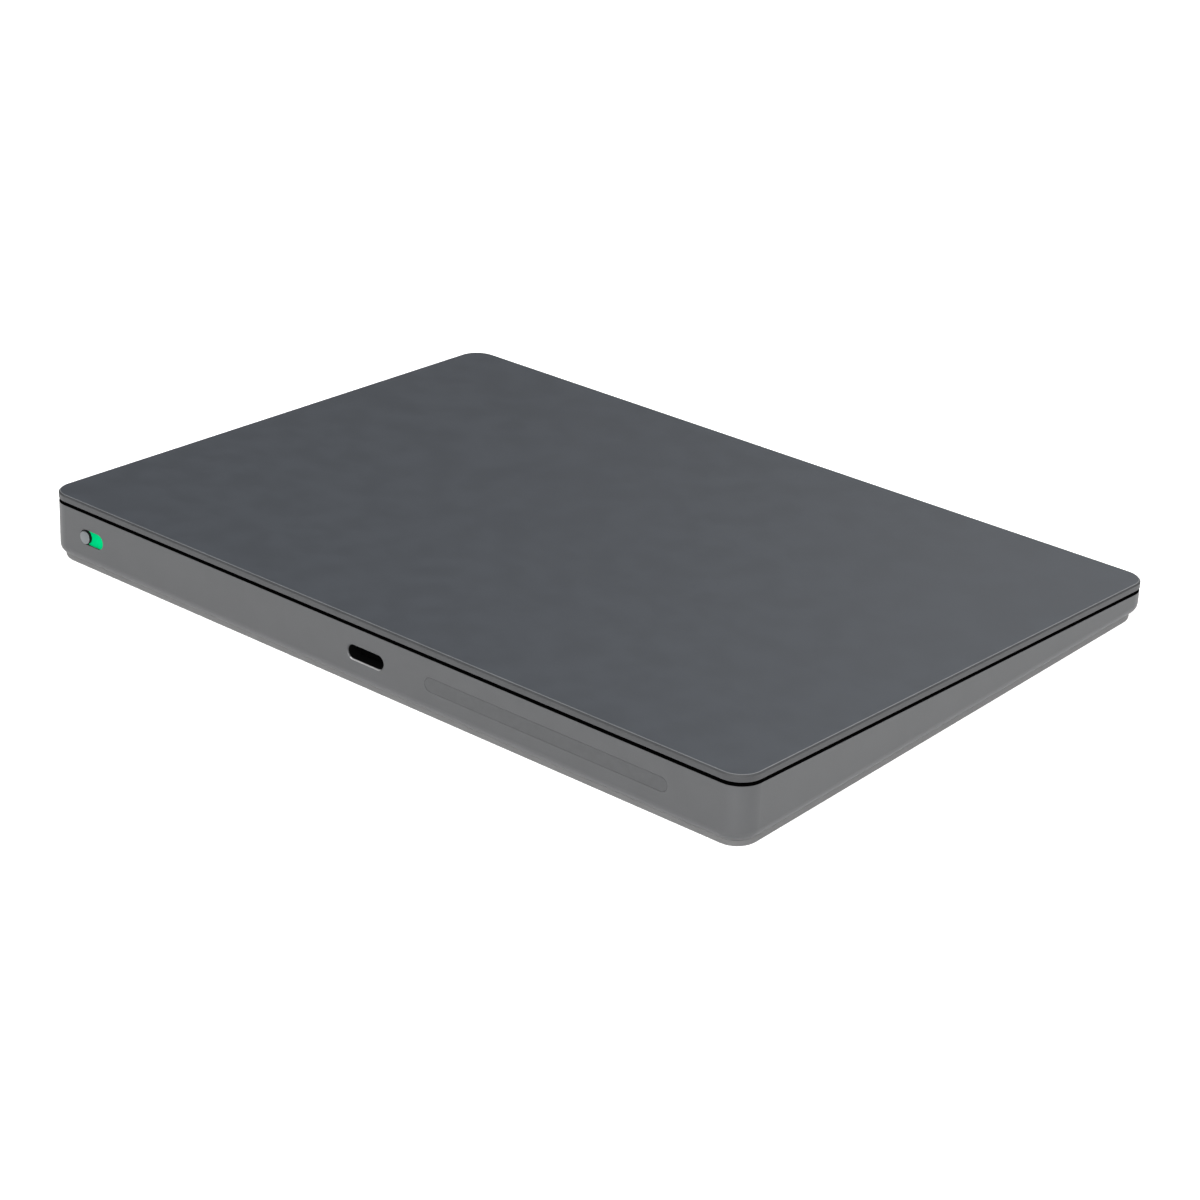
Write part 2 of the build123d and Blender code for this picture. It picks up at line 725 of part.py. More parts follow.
# ================================================================ corner flexures
flexure_names = [
    "flexure_rear_right", "flexure_rear_left", "flexure_front_right", "flexure_front_left",
]
for flexure_name, (leaf_u, leaf_v) in zip(flexure_names, corners(*leaf_spot)):
    outward = 1 if leaf_u > 0 else -1
    with BuildPart() as flexure:
        with BuildSketch(deck.offset(leaf_w)):
            with Locations((leaf_u, leaf_v)):
                RectangleRounded(*leaf_size, leaf_corner)
            with Locations(
                (leaf_u, leaf_v - leaf_slot_spread), (leaf_u, leaf_v + leaf_slot_spread)
            ):
                SlotOverall(*leaf_slot_size, mode=Mode.SUBTRACT)
            with Locations((leaf_u + outward * leaf_fixed_reach, leaf_v)):
                Circle(shank_radius + screw_clearance, mode=Mode.SUBTRACT)
            with Locations((leaf_u + outward * leaf_free_reach, leaf_v)):
                Circle(shank_radius + leaf_free_clearance, mode=Mode.SUBTRACT)
        extrude(amount=-leaf_thickness)
    flexure.part.label = flexure_name
    export_step(flexure.part, f"parts/{flexure_name}.step")

with BuildPart() as strain_gauges:
    with BuildSketch(deck.offset(leaf_bottom_w)):
        with Locations(corners(*leaf_spot)):
            Rectangle(*gauge_size)
    extrude(amount=-gauge_thickness)
strain_gauges.part.label = "strain_gauges"
export_step(strain_gauges.part, "parts/strain_gauges.step")

with BuildPart(deck) as flexure_screws:
    down_from(leaf_clamps, carrier_w, head_radius, carrier_thickness)
    down_from(leaf_clamps, leaf_w, shank_radius, leaf_thickness + deep_hole - screw_end_gap)
flexure_screws.part.label = "flexure_screws"
export_step(flexure_screws.part, "parts/flexure_screws.step")
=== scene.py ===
"""Looks of a wireless touch pad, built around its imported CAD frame.

A dark glass plate floats over a wedge-shaped tub of grey anodised aluminium. The tall rear wall
holds a slide switch, a charging port and a radio window. Everything is in metres, in the frame of
the CAD part, and every place comes from the frame's own boxes.
"""

from __future__ import annotations

import json
import logging
import math
import random
from dataclasses import dataclass
from enum import Enum
from typing import Any, Iterable, Sequence, Union

import bmesh
import bpy
from mathutils import Matrix, Vector

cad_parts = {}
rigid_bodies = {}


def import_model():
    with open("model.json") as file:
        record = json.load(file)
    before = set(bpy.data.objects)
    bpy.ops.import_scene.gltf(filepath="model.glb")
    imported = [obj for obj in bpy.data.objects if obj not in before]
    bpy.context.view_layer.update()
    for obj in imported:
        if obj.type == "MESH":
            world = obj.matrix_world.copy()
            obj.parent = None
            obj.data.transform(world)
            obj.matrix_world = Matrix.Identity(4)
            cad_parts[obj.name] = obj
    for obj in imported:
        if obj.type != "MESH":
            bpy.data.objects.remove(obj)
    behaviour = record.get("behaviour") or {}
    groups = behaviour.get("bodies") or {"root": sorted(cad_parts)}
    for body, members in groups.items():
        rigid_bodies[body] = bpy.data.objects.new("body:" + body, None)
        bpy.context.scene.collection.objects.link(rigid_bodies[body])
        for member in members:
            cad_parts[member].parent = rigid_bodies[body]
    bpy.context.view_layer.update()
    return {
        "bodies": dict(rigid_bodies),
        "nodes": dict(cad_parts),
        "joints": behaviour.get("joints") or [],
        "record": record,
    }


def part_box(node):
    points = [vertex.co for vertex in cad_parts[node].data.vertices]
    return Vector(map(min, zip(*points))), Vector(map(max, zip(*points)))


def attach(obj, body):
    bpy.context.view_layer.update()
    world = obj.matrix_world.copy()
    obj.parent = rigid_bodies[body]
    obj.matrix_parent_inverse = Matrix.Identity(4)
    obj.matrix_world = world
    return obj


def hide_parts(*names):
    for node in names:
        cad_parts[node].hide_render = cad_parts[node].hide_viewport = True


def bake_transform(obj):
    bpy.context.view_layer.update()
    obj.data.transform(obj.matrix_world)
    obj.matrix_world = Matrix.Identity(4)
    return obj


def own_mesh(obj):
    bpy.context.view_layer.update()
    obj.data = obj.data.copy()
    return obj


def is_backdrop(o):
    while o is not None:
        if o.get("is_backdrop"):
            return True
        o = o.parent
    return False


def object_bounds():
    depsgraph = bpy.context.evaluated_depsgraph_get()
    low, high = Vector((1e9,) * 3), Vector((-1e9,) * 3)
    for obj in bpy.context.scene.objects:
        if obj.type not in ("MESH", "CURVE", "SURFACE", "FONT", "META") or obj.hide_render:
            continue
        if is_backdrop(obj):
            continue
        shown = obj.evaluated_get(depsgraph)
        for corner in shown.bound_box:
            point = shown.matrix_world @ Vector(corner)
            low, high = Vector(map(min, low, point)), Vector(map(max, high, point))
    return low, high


LOG = logging.getLogger("touch_pad")
MM = 0.001
Number = Union[float, "Signal"]
Colour = tuple[float, float, float]
DYED: Colour = (0.066, 0.0672, 0.0695)  # the tub's anodised grey
NOISE_BAND = (0.3, 0.7)  # the levels between which most of a noise lies
WELD = 1e-7  # points nearer than this are one


# ---------------------------------------------------------------- shader expressions
class Signal:
    """A value that changes over a surface. Arithmetic on it adds Math nodes."""

    def __init__(self, shader: Shader, socket: bpy.types.NodeSocket) -> None:
        """Wraps a socket of a shader's tree."""
        self.shader = shader
        self.socket = socket

    def _math(self, operation: str, first: Number, second: Number = 0.0) -> Signal:
        """Adds one Math node.

        Args:
            operation: The Math node's operation.
            first: Its first value.
            second: Its second value.

        Returns:
            The node's result.
        """
        node = self.shader.node(
            "ShaderNodeMath", {"operation": operation}, {0: first, 1: second}
        )
        return Signal(self.shader, node.outputs[0])

    def __add__(self, other: Number) -> Signal:
        """Sum."""
        return self._math("ADD", self, other)

    def __radd__(self, other: Number) -> Signal:
        """Sum, with the number first."""
        return self._math("ADD", other, self)

    def __sub__(self, other: Number) -> Signal:
        """Difference."""
        return self._math("SUBTRACT", self, other)

    def __rsub__(self, other: Number) -> Signal:
        """Difference, with the number first."""
        return self._math("SUBTRACT", other, self)

    def __mul__(self, other: Number) -> Signal:
        """Product."""
        return self._math("MULTIPLY", self, other)

    def __rmul__(self, other: Number) -> Signal:
        """Product, with the number first."""
        return self._math("MULTIPLY", other, self)

    def __mod__(self, other: Number) -> Signal:
        """Remainder that stays positive, for patterns that repeat."""
        return self._math("FLOORED_MODULO", self, other)

    def step(self, low: float, high: float) -> Signal:
        """Rises smoothly from 0 to 1 between two levels.

        Args:
            low: Level where the rise begins.
            high: Level where it ends.

        Returns:
            The eased value, from 0 to 1.
        """
        node = self.shader.node(
            "ShaderNodeMapRange",
            {"interpolation_type": "SMOOTHSTEP"},
            {"Value": self, "From Min": low, "From Max": high},
        )
        return Signal(self.shader, node.outputs[0])


class Shader:
    """One material's node tree, with a Principled surface."""

    def __init__(self, name: str) -> None:
        """Makes the material.

        Args:
            name: The material's name.
        """
        self.material = bpy.data.materials.new(name)
        self.material.use_nodes = True
        self.tree = self.material.node_tree
        self.surface = self.tree.nodes["Principled BSDF"]
        self.places = self.node("ShaderNodeTexCoord")

    def node(
        self,
        kind: str,
        settings: dict[str, Any] | None = None,
        inputs: dict[int | str, Any] | None = None,
    ) -> bpy.types.Node:
        """Adds a node.

        Args:
            kind: The node's type.
            settings: The node's own options, set first.
            inputs: Values, sockets or signals for its inputs.

        Returns:
            The new node.
        """
        made = self.tree.nodes.new(kind)
        for name, value in (settings or {}).items():
            setattr(made, name, value)
        for name, value in (inputs or {}).items():
            self.feed(made.inputs[name], value)
        return made

    def feed(self, socket: bpy.types.NodeSocket, value: Any) -> None:
        """Sets or links one input.

        Args:
            socket: The input socket.
            value: A number, a colour, a vector, a socket or a signal.
        """
        if isinstance(value, Signal):
            self.tree.links.new(value.socket, socket)
        elif isinstance(value, bpy.types.NodeSocket):
            self.tree.links.new(value, socket)
        elif socket.type == "RGBA" and len(value) == 3:
            socket.default_value = (*value, 1.0)
        else:
            socket.default_value = value

    def scaled(self, stretch: Sequence[float]) -> bpy.types.NodeSocket:
        """Gives the object's coordinates, stretched along each axis.

        Args:
            stretch: Factor along X, Y and Z.

        Returns:
            The stretched coordinates.
        """
        node = self.node(
            "ShaderNodeMapping",
            None,
            {"Vector": self.places.outputs["Object"], "Scale": tuple(stretch)},
        )
        return node.outputs[0]

    def along(self, direction: Sequence[float], what: str = "Object") -> Signal:
        """Measures places or normals along a direction.

        Args:
            direction: The direction, as a unit vector.
            what: "Object" for places in metres, "Normal" for the surface's facing.

        Returns:
            The length along the direction.
        """
        node = self.node(
            "ShaderNodeVectorMath",
            {"operation": "DOT_PRODUCT"},
            {0: self.places.outputs[what], 1: tuple(direction)},
        )
        return Signal(self, node.outputs["Value"])

    def ruled(self, direction: Sequence[float], pitch: float) -> Signal:
        """Rules the surface into even steps.

        Args:
            direction: The direction across the steps, as a unit vector.
            pitch: Width of a step, in metres.

        Returns:
            The place within its step, from 0 to 1.
        """
        return (self.along(direction) % pitch) * (1 / pitch)

    def noise(
        self, size: float, detail: float = 2.0, stretch: Sequence[float] = (1, 1, 1)
    ) -> Signal:
        """Adds cloudy noise.

        Args:
            size: Size of one blotch, in metres.
            detail: Number of finer layers.
            stretch: Factor on each axis: above 1 squeezes the blotches.

        Returns:
            The noise, around 0.5.
        """
        node = self.node(
            "ShaderNodeTexNoise",
            None,
            {"Vector": self.scaled(stretch), "Scale": 1.0 / size, "Detail": detail},
        )
        return Signal(self, node.outputs["Fac"])

    def cells(self, size: float, feature: str = "F1", distance: str = "EUCLIDEAN") -> Signal:
        """Adds round cells.

        Args:
            size: Size of one cell, in metres.
            feature: The Voronoi feature.
            distance: How distance is measured: "CHEBYCHEV" makes the cells square.

        Returns:
            Distance from the cell's middle or edge.
        """
        node = self.node(
            "ShaderNodeTexVoronoi",
            {"feature": feature, "distance": distance},
            {"Vector": self.places.outputs["Object"], "Scale": 1.0 / size},
        )
        return Signal(self, node.outputs["Distance"])

    def mix(self, mask: Number, off: Any, on: Any) -> bpy.types.NodeSocket:
        """Mixes two colours."""
        node = self.node("ShaderNodeMix", {"data_type": "RGBA"}, {0: mask, 6: off, 7: on})
        return node.outputs[2]

    def relief(self, height: Signal, depth: float) -> None:
        """Adds a fine relief over whatever relief is there.

        Args:
            height: Height of the surface, about 0 to 1.
            depth: How deep it is, in metres.
        """
        normal = self.surface.inputs["Normal"]
        inputs: dict[int | str, Any] = {"Height": height, "Distance": depth, "Strength": 1.0}
        if normal.is_linked:
            inputs["Normal"] = normal.links[0].from_socket
        bump = self.node("ShaderNodeBump", None, inputs)
        self.feed(normal, bump.outputs[0])

    def set(self, **values: Any) -> None:
        """Feeds the surface's own inputs, with spaces for underscores in their names."""
        for name, value in values.items():
            self.feed(self.surface.inputs[name.replace("_", " ")], value)


def grey(level: float, warmth: float = 0.0) -> Colour:
    """Gives a grey as a linear colour."""
    return (level * (1 + warmth), level, level * (1 - warmth))


def brighter(colour: Colour, factor: float) -> Colour:
    """Gives a colour times a factor, kept at or under 1."""
    return tuple(min(1.0, part * factor) for part in colour)  # type: ignore[return-value]


# ---------------------------------------------------------------- finishes
@dataclass(frozen=True)
class Finish:
    """A material of the pad: a colour, a sheen and a grain that varies both."""

    name: str
    colour: Colour
    roughness: float = 0.5
    metallic: float = 0.0
    specular: float = 0.5
    grain: float = 0.0004
    grain_depth: float = 0.000004
    mottle: float = 0.06
    coat: float = 0.0

    def make(self) -> bpy.types.Material:
        """Builds the material.

        Returns:
            The finished material.
        """
        shader = Shader(self.name)
        cloud = shader.noise(self.grain * 14, 3.0)
        shader.set(
            Base_Color=self.tone(shader, cloud),
            Roughness=self.roughness + (cloud - 0.5) * self.mottle,
            Metallic=self.metallic,
            Specular_IOR_Level=self.specular,
            Coat_Weight=self.coat,
        )
        self.texture(shader)
        return shader.material

    def tone(self, shader: Shader, cloud: Signal) -> bpy.types.NodeSocket:
        """Colours the surface.

        Args:
            shader: The shader being built.
            cloud: Slow noise around 0.5.

        Returns:
            The colour.
        """
        return self.between(shader, cloud, 1 - self.mottle, 1 + self.mottle)

    def between(
        self, shader: Shader, pattern: Signal, low: float, high: float
    ) -> bpy.types.NodeSocket:
        """Spreads the colour between two strengths along a noise.

        Args:
            shader: The shader being built.
            pattern: The noise.
            low: Strength of the colour where the noise is low.
            high: Strength where it is high.

        Returns:
            The colour.
        """
        ends = (brighter(self.colour, low), brighter(self.colour, high))
        return shader.mix(pattern.step(*NOISE_BAND), *ends)

    def texture(self, shader: Shader) -> None:
        """Adds the fine relief: a mixed grain, as on moulded plastic."""
        shader.relief(shader.noise(self.grain, 4.0), self.grain_depth)


@dataclass(frozen=True)
class BlastedAluminium(Finish):
    """Anodised aluminium over a bead-blasted skin: tiny round dimples, each a little off in tone."""

    bead: float = 0.00009

    def tone(self, shader: Shader, cloud: Signal) -> bpy.types.NodeSocket:
        """Colours the anodised skin, with a faint speckle from the beads.

        Args:
            shader: The shader being built.
            cloud: Slow noise around 0.5.

        Returns:
            The colour.
        """
        speckle = shader.noise(self.bead, 1.0).step(0.25, 0.75)
        even = super().tone(shader, cloud)
        return shader.mix(speckle, even, self.between(shader, cloud, 1.05, 1.1))

    def texture(self, shader: Shader) -> None:
        """Adds the dimples of the beads over a slight unevenness of the wall."""
        shader.relief(shader.cells(self.bead, "SMOOTH_F1"), self.grain_depth)
        shader.relief(shader.noise(self.bead * 6, 2.0), self.grain_depth)


@dataclass(frozen=True)
class LipPaintedHighlight(Finish):
    """A bevel with a painted highlight: lighter only where it faces up and out of the rear wall, the
    anodised grey elsewhere.
    """

    dyed: Colour = DYED
    facing: tuple[float, float, float] = (0.0, 0.667, 0.745)

    def tone(self, shader: Shader, cloud: Signal) -> bpy.types.NodeSocket:
        """Paints the highlight on the bevel where it faces up and out, and the anodised grey
        elsewhere.
        """
        bright = shader.along(self.facing, "Normal").step(0.90, 0.97)
        return shader.mix(bright, self.dyed, super().tone(shader, cloud))


@dataclass(frozen=True)
class EtchedGlass(Finish):
    """Matte etched glass over a dark print: a silky bloom of tiny pits under a thin hard skin."""

    pit: float = 0.00006

    def texture(self, shader: Shader) -> None:
        """Adds the etched pits."""
        shader.relief(shader.noise(self.pit, 2.0), self.grain_depth)


@dataclass(frozen=True)
class RolledSheet(Finish):
    """Sheet metal with long rolling lines one way and a few handling marks."""

    direction: tuple[float, float, float] = (1.0, 30.0, 30.0)

    def tone(self, shader: Shader, cloud: Signal) -> bpy.types.NodeSocket:
        """Colours the sheet with its rolling lines.

        Args:
            shader: The shader being built.
            cloud: Slow noise around 0.5; not used.

        Returns:
            The colour.
        """
        lines = shader.noise(self.grain * 30, 4.0, self.direction)
        return self.between(shader, lines, 0.86, 1.08)

    def texture(self, shader: Shader) -> None:
        """Adds the rolling lines as relief, and a fine pebble under them."""
        shader.relief(shader.noise(self.grain * 30, 5.0, self.direction), self.grain_depth)
        shader.relief(shader.noise(self.grain, 2.0), self.grain_depth * 0.5)


@dataclass(frozen=True)
class LaminatedCore(Finish):
    """Electrical steel in thin sheets: dark varnish lines between bright cut edges."""

    sheet: float = 0.00035
    square: tuple[float, float, float] = (0.0, 0.0, 1.0)

    def lines(self, shader: Shader) -> Signal:
        """Finds the varnish between sheets."""
        place = shader.ruled(self.square, self.sheet)
        return 1 - place.step(0.04, 0.16) * (1 - place.step(0.84, 0.96))

    def tone(self, shader: Shader, cloud: Signal) -> bpy.types.NodeSocket:
        """Colours the cut edges and the varnish."""
        return shader.mix(self.lines(shader), super().tone(shader, cloud), (0.02, 0.017, 0.015))

    def texture(self, shader: Shader) -> None:
        """Sinks the varnish lines."""
        shader.relief(1 - self.lines(shader), self.grain_depth * 5)


@dataclass(frozen=True)
class SolderMask(Finish):
    """Circuit board: lacquer over copper tracks that show as a faint relief, with gold pads."""

    track: float = 0.0009
    ring: float = 0.12
    pad: Colour = (0.75, 0.52, 0.22)

    def tone(self, shader: Shader, cloud: Signal) -> bpy.types.NodeSocket:
        """Colours the lacquer, the tracks under it and small plated holes.

        Args:
            shader: The shader being built.
            cloud: Slow noise around 0.5; not used.

        Returns:
            The colour.
        """
        tracks = self.tracks(shader)
        lacquer = shader.mix(tracks, self.colour, brighter(self.colour, 2.4))
        holes = 1 - shader.cells(self.track * 2.1).step(0.07, 0.09)
        return shader.mix(holes, lacquer, self.pad)

    def tracks(self, shader: Shader) -> Signal:
        """Finds the copper tracks.

        Args:
            shader: The shader being built.

        Returns:
            One on a track and zero beside it.
        """
        squares = shader.cells(self.track * 5, distance="CHEBYCHEV")
        rings = (squares % self.ring) * (1 / self.ring)
        return rings.step(0.42, 0.5) * (1 - rings.step(0.86, 0.94))

    def texture(self, shader: Shader) -> None:
        """Raises the tracks a little."""
        shader.relief(self.tracks(shader), self.grain_depth)


@dataclass(frozen=True)
class StripedFilm(Finish):
    """Flexible film with parallel conductors under it."""

    pitch: float = 0.0008
    across: tuple[float, float, float] = (1.0, 0.0, 0.0)
    conductor: Colour = (0.50, 0.24, 0.07)

    def bars(self, shader: Shader) -> Signal:
        """Finds the conductors."""
        place = shader.ruled(self.across, self.pitch)
        return place.step(0.28, 0.34) * (1 - place.step(0.7, 0.76))

    def tone(self, shader: Shader, cloud: Signal) -> bpy.types.NodeSocket:
        """Colours the film and the conductors that show through."""
        return shader.mix(self.bars(shader), super().tone(shader, cloud), self.conductor)

    def texture(self, shader: Shader) -> None:
        """Raises the film over its conductors."""
        shader.relief(self.bars(shader), self.grain_depth)


@dataclass(frozen=True)
class FoamRubber(Finish):
    """Closed-cell foam: open pores, darkened with painted shade, over a soft skin."""

    def tone(self, shader: Shader, cloud: Signal) -> bpy.types.NodeSocket:
        """Colours the foam, with painted shade making it darker in its pores."""
        pores = shader.cells(self.grain).step(0.1, 0.5)
        return shader.mix(pores, brighter(self.colour, 0.5), self.colour)

    def texture(self, shader: Shader) -> None:
        """Sinks the pores."""
        shader.relief(shader.cells(self.grain), self.grain_depth)


class Slot(Enum):
    """The record's material slots, each with its finish."""

    GLASS = EtchedGlass("touch_glass", (0.0405, 0.0455, 0.0535), 0.46, specular=0.35, grain_depth=4e-7)
    GLASS_EDGE = EtchedGlass(
        "ground_edge", (0.036, 0.037, 0.039), 0.50, specular=0.35, grain_depth=6e-7
    )
    # Painted highlight: the thin band where the chamfer meets the top, about three times lighter than
    # the glass.
    GLASS_SEAM = EtchedGlass(
        "polished_seam", (0.135, 0.140, 0.146), 0.42, specular=0.5, grain_depth=1e-7
    )
    BOND = Finish("black_film", grey(0.008), 0.35)
    BOARD = SolderMask("black_board", (0.008, 0.009, 0.010), 0.38, grain_depth=1e-5)
    SHEET = RolledSheet("steel_sheet", grey(0.50, 0.01), 0.34, 1.0)
    CHIP = Finish("chip_resin", grey(0.016), 0.55, grain=1e-4, grain_depth=3e-6)
    SOCKET = Finish("socket_plastic", (0.42, 0.38, 0.30), 0.5, grain=2e-4)
    GEL = Finish("gel", (0.48, 0.52, 0.54), 0.22, specular=0.5, grain=6e-4)
    CORE = LaminatedCore("lamination_steel", grey(0.26, 0.02), 0.42, 1.0)
    SCREW = RolledSheet("screw_steel", grey(0.36, 0.02), 0.30, 1.0, direction=(8.0, 8.0, 1.0))
    ALUMINIUM = BlastedAluminium(
        "grey_aluminium", DYED, 0.48, 0.5, grain_depth=2e-6, mottle=0.02
    )
    # Painted highlight: a light grey on the port's bevel, only where it faces up and out.
    LIP = LipPaintedHighlight("cut_lip", grey(0.36), 0.48, 0.5, grain=4e-5, grain_depth=4e-7)
    # Lighter than the tub: partly the polymer's own grey, partly painted light standing in for light
    # bounced up from the floor.
    PAD = Finish("base_polymer", grey(0.088), 0.62, grain=2.2e-4, grain_depth=1.5e-5)
    # Painted shade: a near-black foam strip with no specular, set in the gap between glass and tub,
    # standing in for the gap's shadow.
    GASKET = FoamRubber("black_gasket", grey(0.0006), 0.8, specular=0.0, grain_depth=4e-6)
    WINDOW = Finish(
        "window_plastic", (0.042, 0.0432, 0.0452), 0.5, specular=0.4, grain=9e-5, grain_depth=2e-6
    )
    FILM = StripedFilm("ribbon_film", (0.17, 0.075, 0.012), 0.36, grain_depth=8e-6)
    # Painted shade: the steel shell is near-black with no specular, standing in for the shade inside
    # the port.
    PORT = RolledSheet("port_steel", grey(0.004), 0.6, 0.3, 0.0, direction=(12.0, 1.0, 12.0))
    TONGUE = Finish("port_plastic", grey(0.001), 0.7, specular=0.0, grain=1e-4)
    GOLD = RolledSheet("gold_contacts", (0.72, 0.47, 0.16), 0.26, 1.0, grain=5e-5)
    SWITCH = Finish("switch_plastic", grey(0.010), 0.46, grain=1.2e-4, grain_depth=4e-6)
    SHIELD = RolledSheet("shield_tin", grey(0.55, 0.015), 0.32, 1.0)
    CELL = Finish("cell_pouch", grey(0.020), 0.40, specular=0.4, grain=7e-4, grain_depth=2e-5)
    ADHESIVE = Finish("adhesive", (0.66, 0.66, 0.61), 0.55, grain=5e-4, grain_depth=1e-5)
    GREEN_BOARD = SolderMask("green_board", (0.010, 0.070, 0.026), 0.36, grain_depth=1e-5)
    COPPER = Finish("copper_winding", (0.52, 0.19, 0.055), 0.27, 0.9, coat=0.6, grain=2e-4)
    SPRING = RolledSheet("spring_steel", (0.42, 0.40, 0.36), 0.30, 1.0, direction=(30.0, 1.0, 30.0))
    GAUGE = StripedFilm("gauge_film", (0.30, 0.16, 0.035), 0.35, pitch=3e-4, grain_depth=3e-6)
    MARKER = Finish(
        "green_mark", (0.0, 0.37, 0.125), 0.6, specular=0.0, grain=1.2e-4, grain_depth=2e-6
    )
    KNOB = BlastedAluminium(
        "knob_aluminium", (0.118, 0.127, 0.133), 0.36, 0.6, grain_depth=1e-6, bead=6e-5
    )
    # Painted shade: near-black on the knob's round side, standing in for the shadow around the knob.
    KNOB_STEM = Finish("knob_stem", grey(0.006), 0.5, specular=0.1, grain=8e-5, grain_depth=2e-6)

    @property
    def recorded(self) -> str:
        """Gives the record's material slot that this finish belongs to."""
        return {"cut_lip": "grey_aluminium"}.get(self.value.name, self.value.name)

    def material(self) -> bpy.types.Material:
        """Gives the slot's material, which is made the first time.

        Returns:
            The material.
        """
        finish: Finish = self.value
        made = bpy.data.materials.get(finish.name + "_finish")
        if made is None:
            made = finish.make()
            made.name = finish.name + "_finish"
        return made

    def dress(self, piece: bpy.types.Object) -> None:
        """Puts the finish on a piece, in place of whatever it has.

        Args:
            piece: The piece to dress.
        """
        if not piece.material_slots:
            piece.data.materials.append(self.material())
        for slot in piece.material_slots:
            slot.material = self.material()


# ---------------------------------------------------------------- studio
@dataclass(frozen=True)
class SoftLight:
    """A rectangular softbox that faces the pad."""

    name: str
    azimuth: float
    elevation: float
    distance: float
    size: float
    watts: float

    def build(self) -> None:
        """Hangs the softbox."""
        light = bpy.data.lights.new(self.name, "AREA")
        light.shape = "SQUARE"
        light.size = self.size
        light.energy = self.watts
        lamp = bpy.data.objects.new(self.name, light)
        away = direction(self.azimuth, self.elevation)
        lamp.location = away * self.distance
        lamp.rotation_euler = away.to_track_quat("Z", "Y").to_euler()
        bpy.context.scene.collection.objects.link(lamp)


@dataclass(frozen=True)
class Studio:
    """Floor, sky, softboxes and camera."""

    azimuth: float = 221.647
    elevation: float = 26.05
    distance: float = 0.559
    aim_across: float = -0.01422
    aim_along: float = 0.0131
    aim_height: float = 0.00625
    lens: float = 98.52
    floor_half: float = 4.0
    floor_glow: float = 0.8
    sky: float = 0.15
    lights: tuple[SoftLight, ...] = (
        SoftLight("overhead_softbox", 200.0, 78.0, 1.4, 1.5, 15.0),
        SoftLight("rear_softbox", 208.0, 28.0, 1.6, 1.2, 33.0),
        SoftLight("front_softbox", 10.0, 42.0, 1.6, 1.2, 8.0),
        SoftLight("side_softbox", 300.0, 32.0, 1.6, 1.2, 7.0),
    )

    def build(self) -> None:
        """Sets the whole studio."""
        self._lay_floor()
        self._light_sky()
        for light in self.lights:
            light.build()
        self._place_camera()
        bpy.context.scene.view_settings.view_transform = "Standard"

    def _lay_floor(self) -> None:
        """Lays the pale floor that the pad stands on."""
        bench = bmesh.new()
        bmesh.ops.create_grid(bench, x_segments=4, y_segments=4, size=self.floor_half)
        floor = as_object("studio_floor", bench)
        shader = Shader("pale_floor")
        cloud = shader.noise(0.25, 3.0)
        paint = shader.mix(cloud, grey(0.80), grey(0.84))
        shader.set(Base_Color=paint, Roughness=0.85, Emission_Color=paint)
        shader.set(Emission_Strength=self.floor_glow, Specular_IOR_Level=0.2)
        floor.data.materials.append(shader.material)
        floor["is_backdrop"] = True

    def _light_sky(self) -> None:
        """Surrounds the bench with an even white."""
        world = bpy.data.worlds.new("studio_sky")
        world.use_nodes = True
        background = world.node_tree.nodes["Background"]
        background.inputs["Color"].default_value = (1.0, 1.0, 1.0, 1.0)
        background.inputs["Strength"].default_value = self.sky
        bpy.context.scene.world = world

    def _place_camera(self) -> None:
        """Stands the camera behind the tall rear edge, looking down on it."""
        low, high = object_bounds()
        middle = (Vector(low) + Vector(high)) / 2
        aim = Vector((middle.x + self.aim_across, middle.y + self.aim_along, self.aim_height))
        lens = bpy.data.cameras.new("camera")
        lens.lens = self.lens
        lens.sensor_width = 36.0
        lens.clip_start = 0.01
        camera = bpy.data.objects.new("camera", lens)
        away = direction(self.azimuth, self.elevation)
        camera.location = aim + away * self.distance
        camera.rotation_euler = away.to_track_quat("Z", "Y").to_euler()
        bpy.context.scene.collection.objects.link(camera)
        bpy.context.scene.camera = camera


def direction(azimuth: float, elevation: float) -> Vector:
    """Gives the way from the pad towards a place around it.

    Args:
        azimuth: Degrees round from the front, towards +X.
        elevation: Degrees above the floor.

    Returns:
        The unit vector.
    """
    turn = math.radians(azimuth)
    rise = math.radians(elevation)
    return Vector(
        (math.sin(turn) * math.cos(rise), -math.cos(turn) * math.cos(rise), math.sin(rise))
    )


def as_object(name: str, bench: bmesh.types.BMesh) -> bpy.types.Object:
    """Turns a finished bmesh into an object in the scene.

    Args:
        name: The object's name.
        bench: The bmesh, which is freed.

    Returns:
        The new object.
    """
    mesh = bpy.data.meshes.new(name)
    bench.to_mesh(mesh)
    bench.free()
    made = bpy.data.objects.new(name, mesh)
    bpy.context.scene.collection.objects.link(made)
    return made


# ---------------------------------------------------------------- pieces
@dataclass(frozen=True)
class Block:
    """The box of one solid, in a frame of its own."""

    frame: Matrix
    low: Vector
    high: Vector

    @property
    def middle(self) -> Vector:
        """Gives the middle of the box."""
        return (self.low + self.high) / 2

    @property
    def size(self) -> Vector:
        """Gives the three sides of the box."""
        return self.high - self.low

    def turned_over(self) -> Block:
        """Gives the same box in a frame turned over about its X, for what hangs from above."""
        over = Matrix.Rotation(math.pi, 4, "X")
        corners = [over @ self.low, over @ self.high]
        low, high = corner_box(corners)
        return Block(self.frame @ over, low, high)


def corner_box(spots: Sequence[Vector]) -> tuple[Vector, Vector]:
    """Gives the lowest and highest corners around some points.

    Args:
        spots: The points.

    Returns:
        The two corners.
    """
    low = Vector([min(spot[axis] for spot in spots) for axis in range(3)])
    high = Vector([max(spot[axis] for spot in spots) for axis in range(3)])
    return low, high


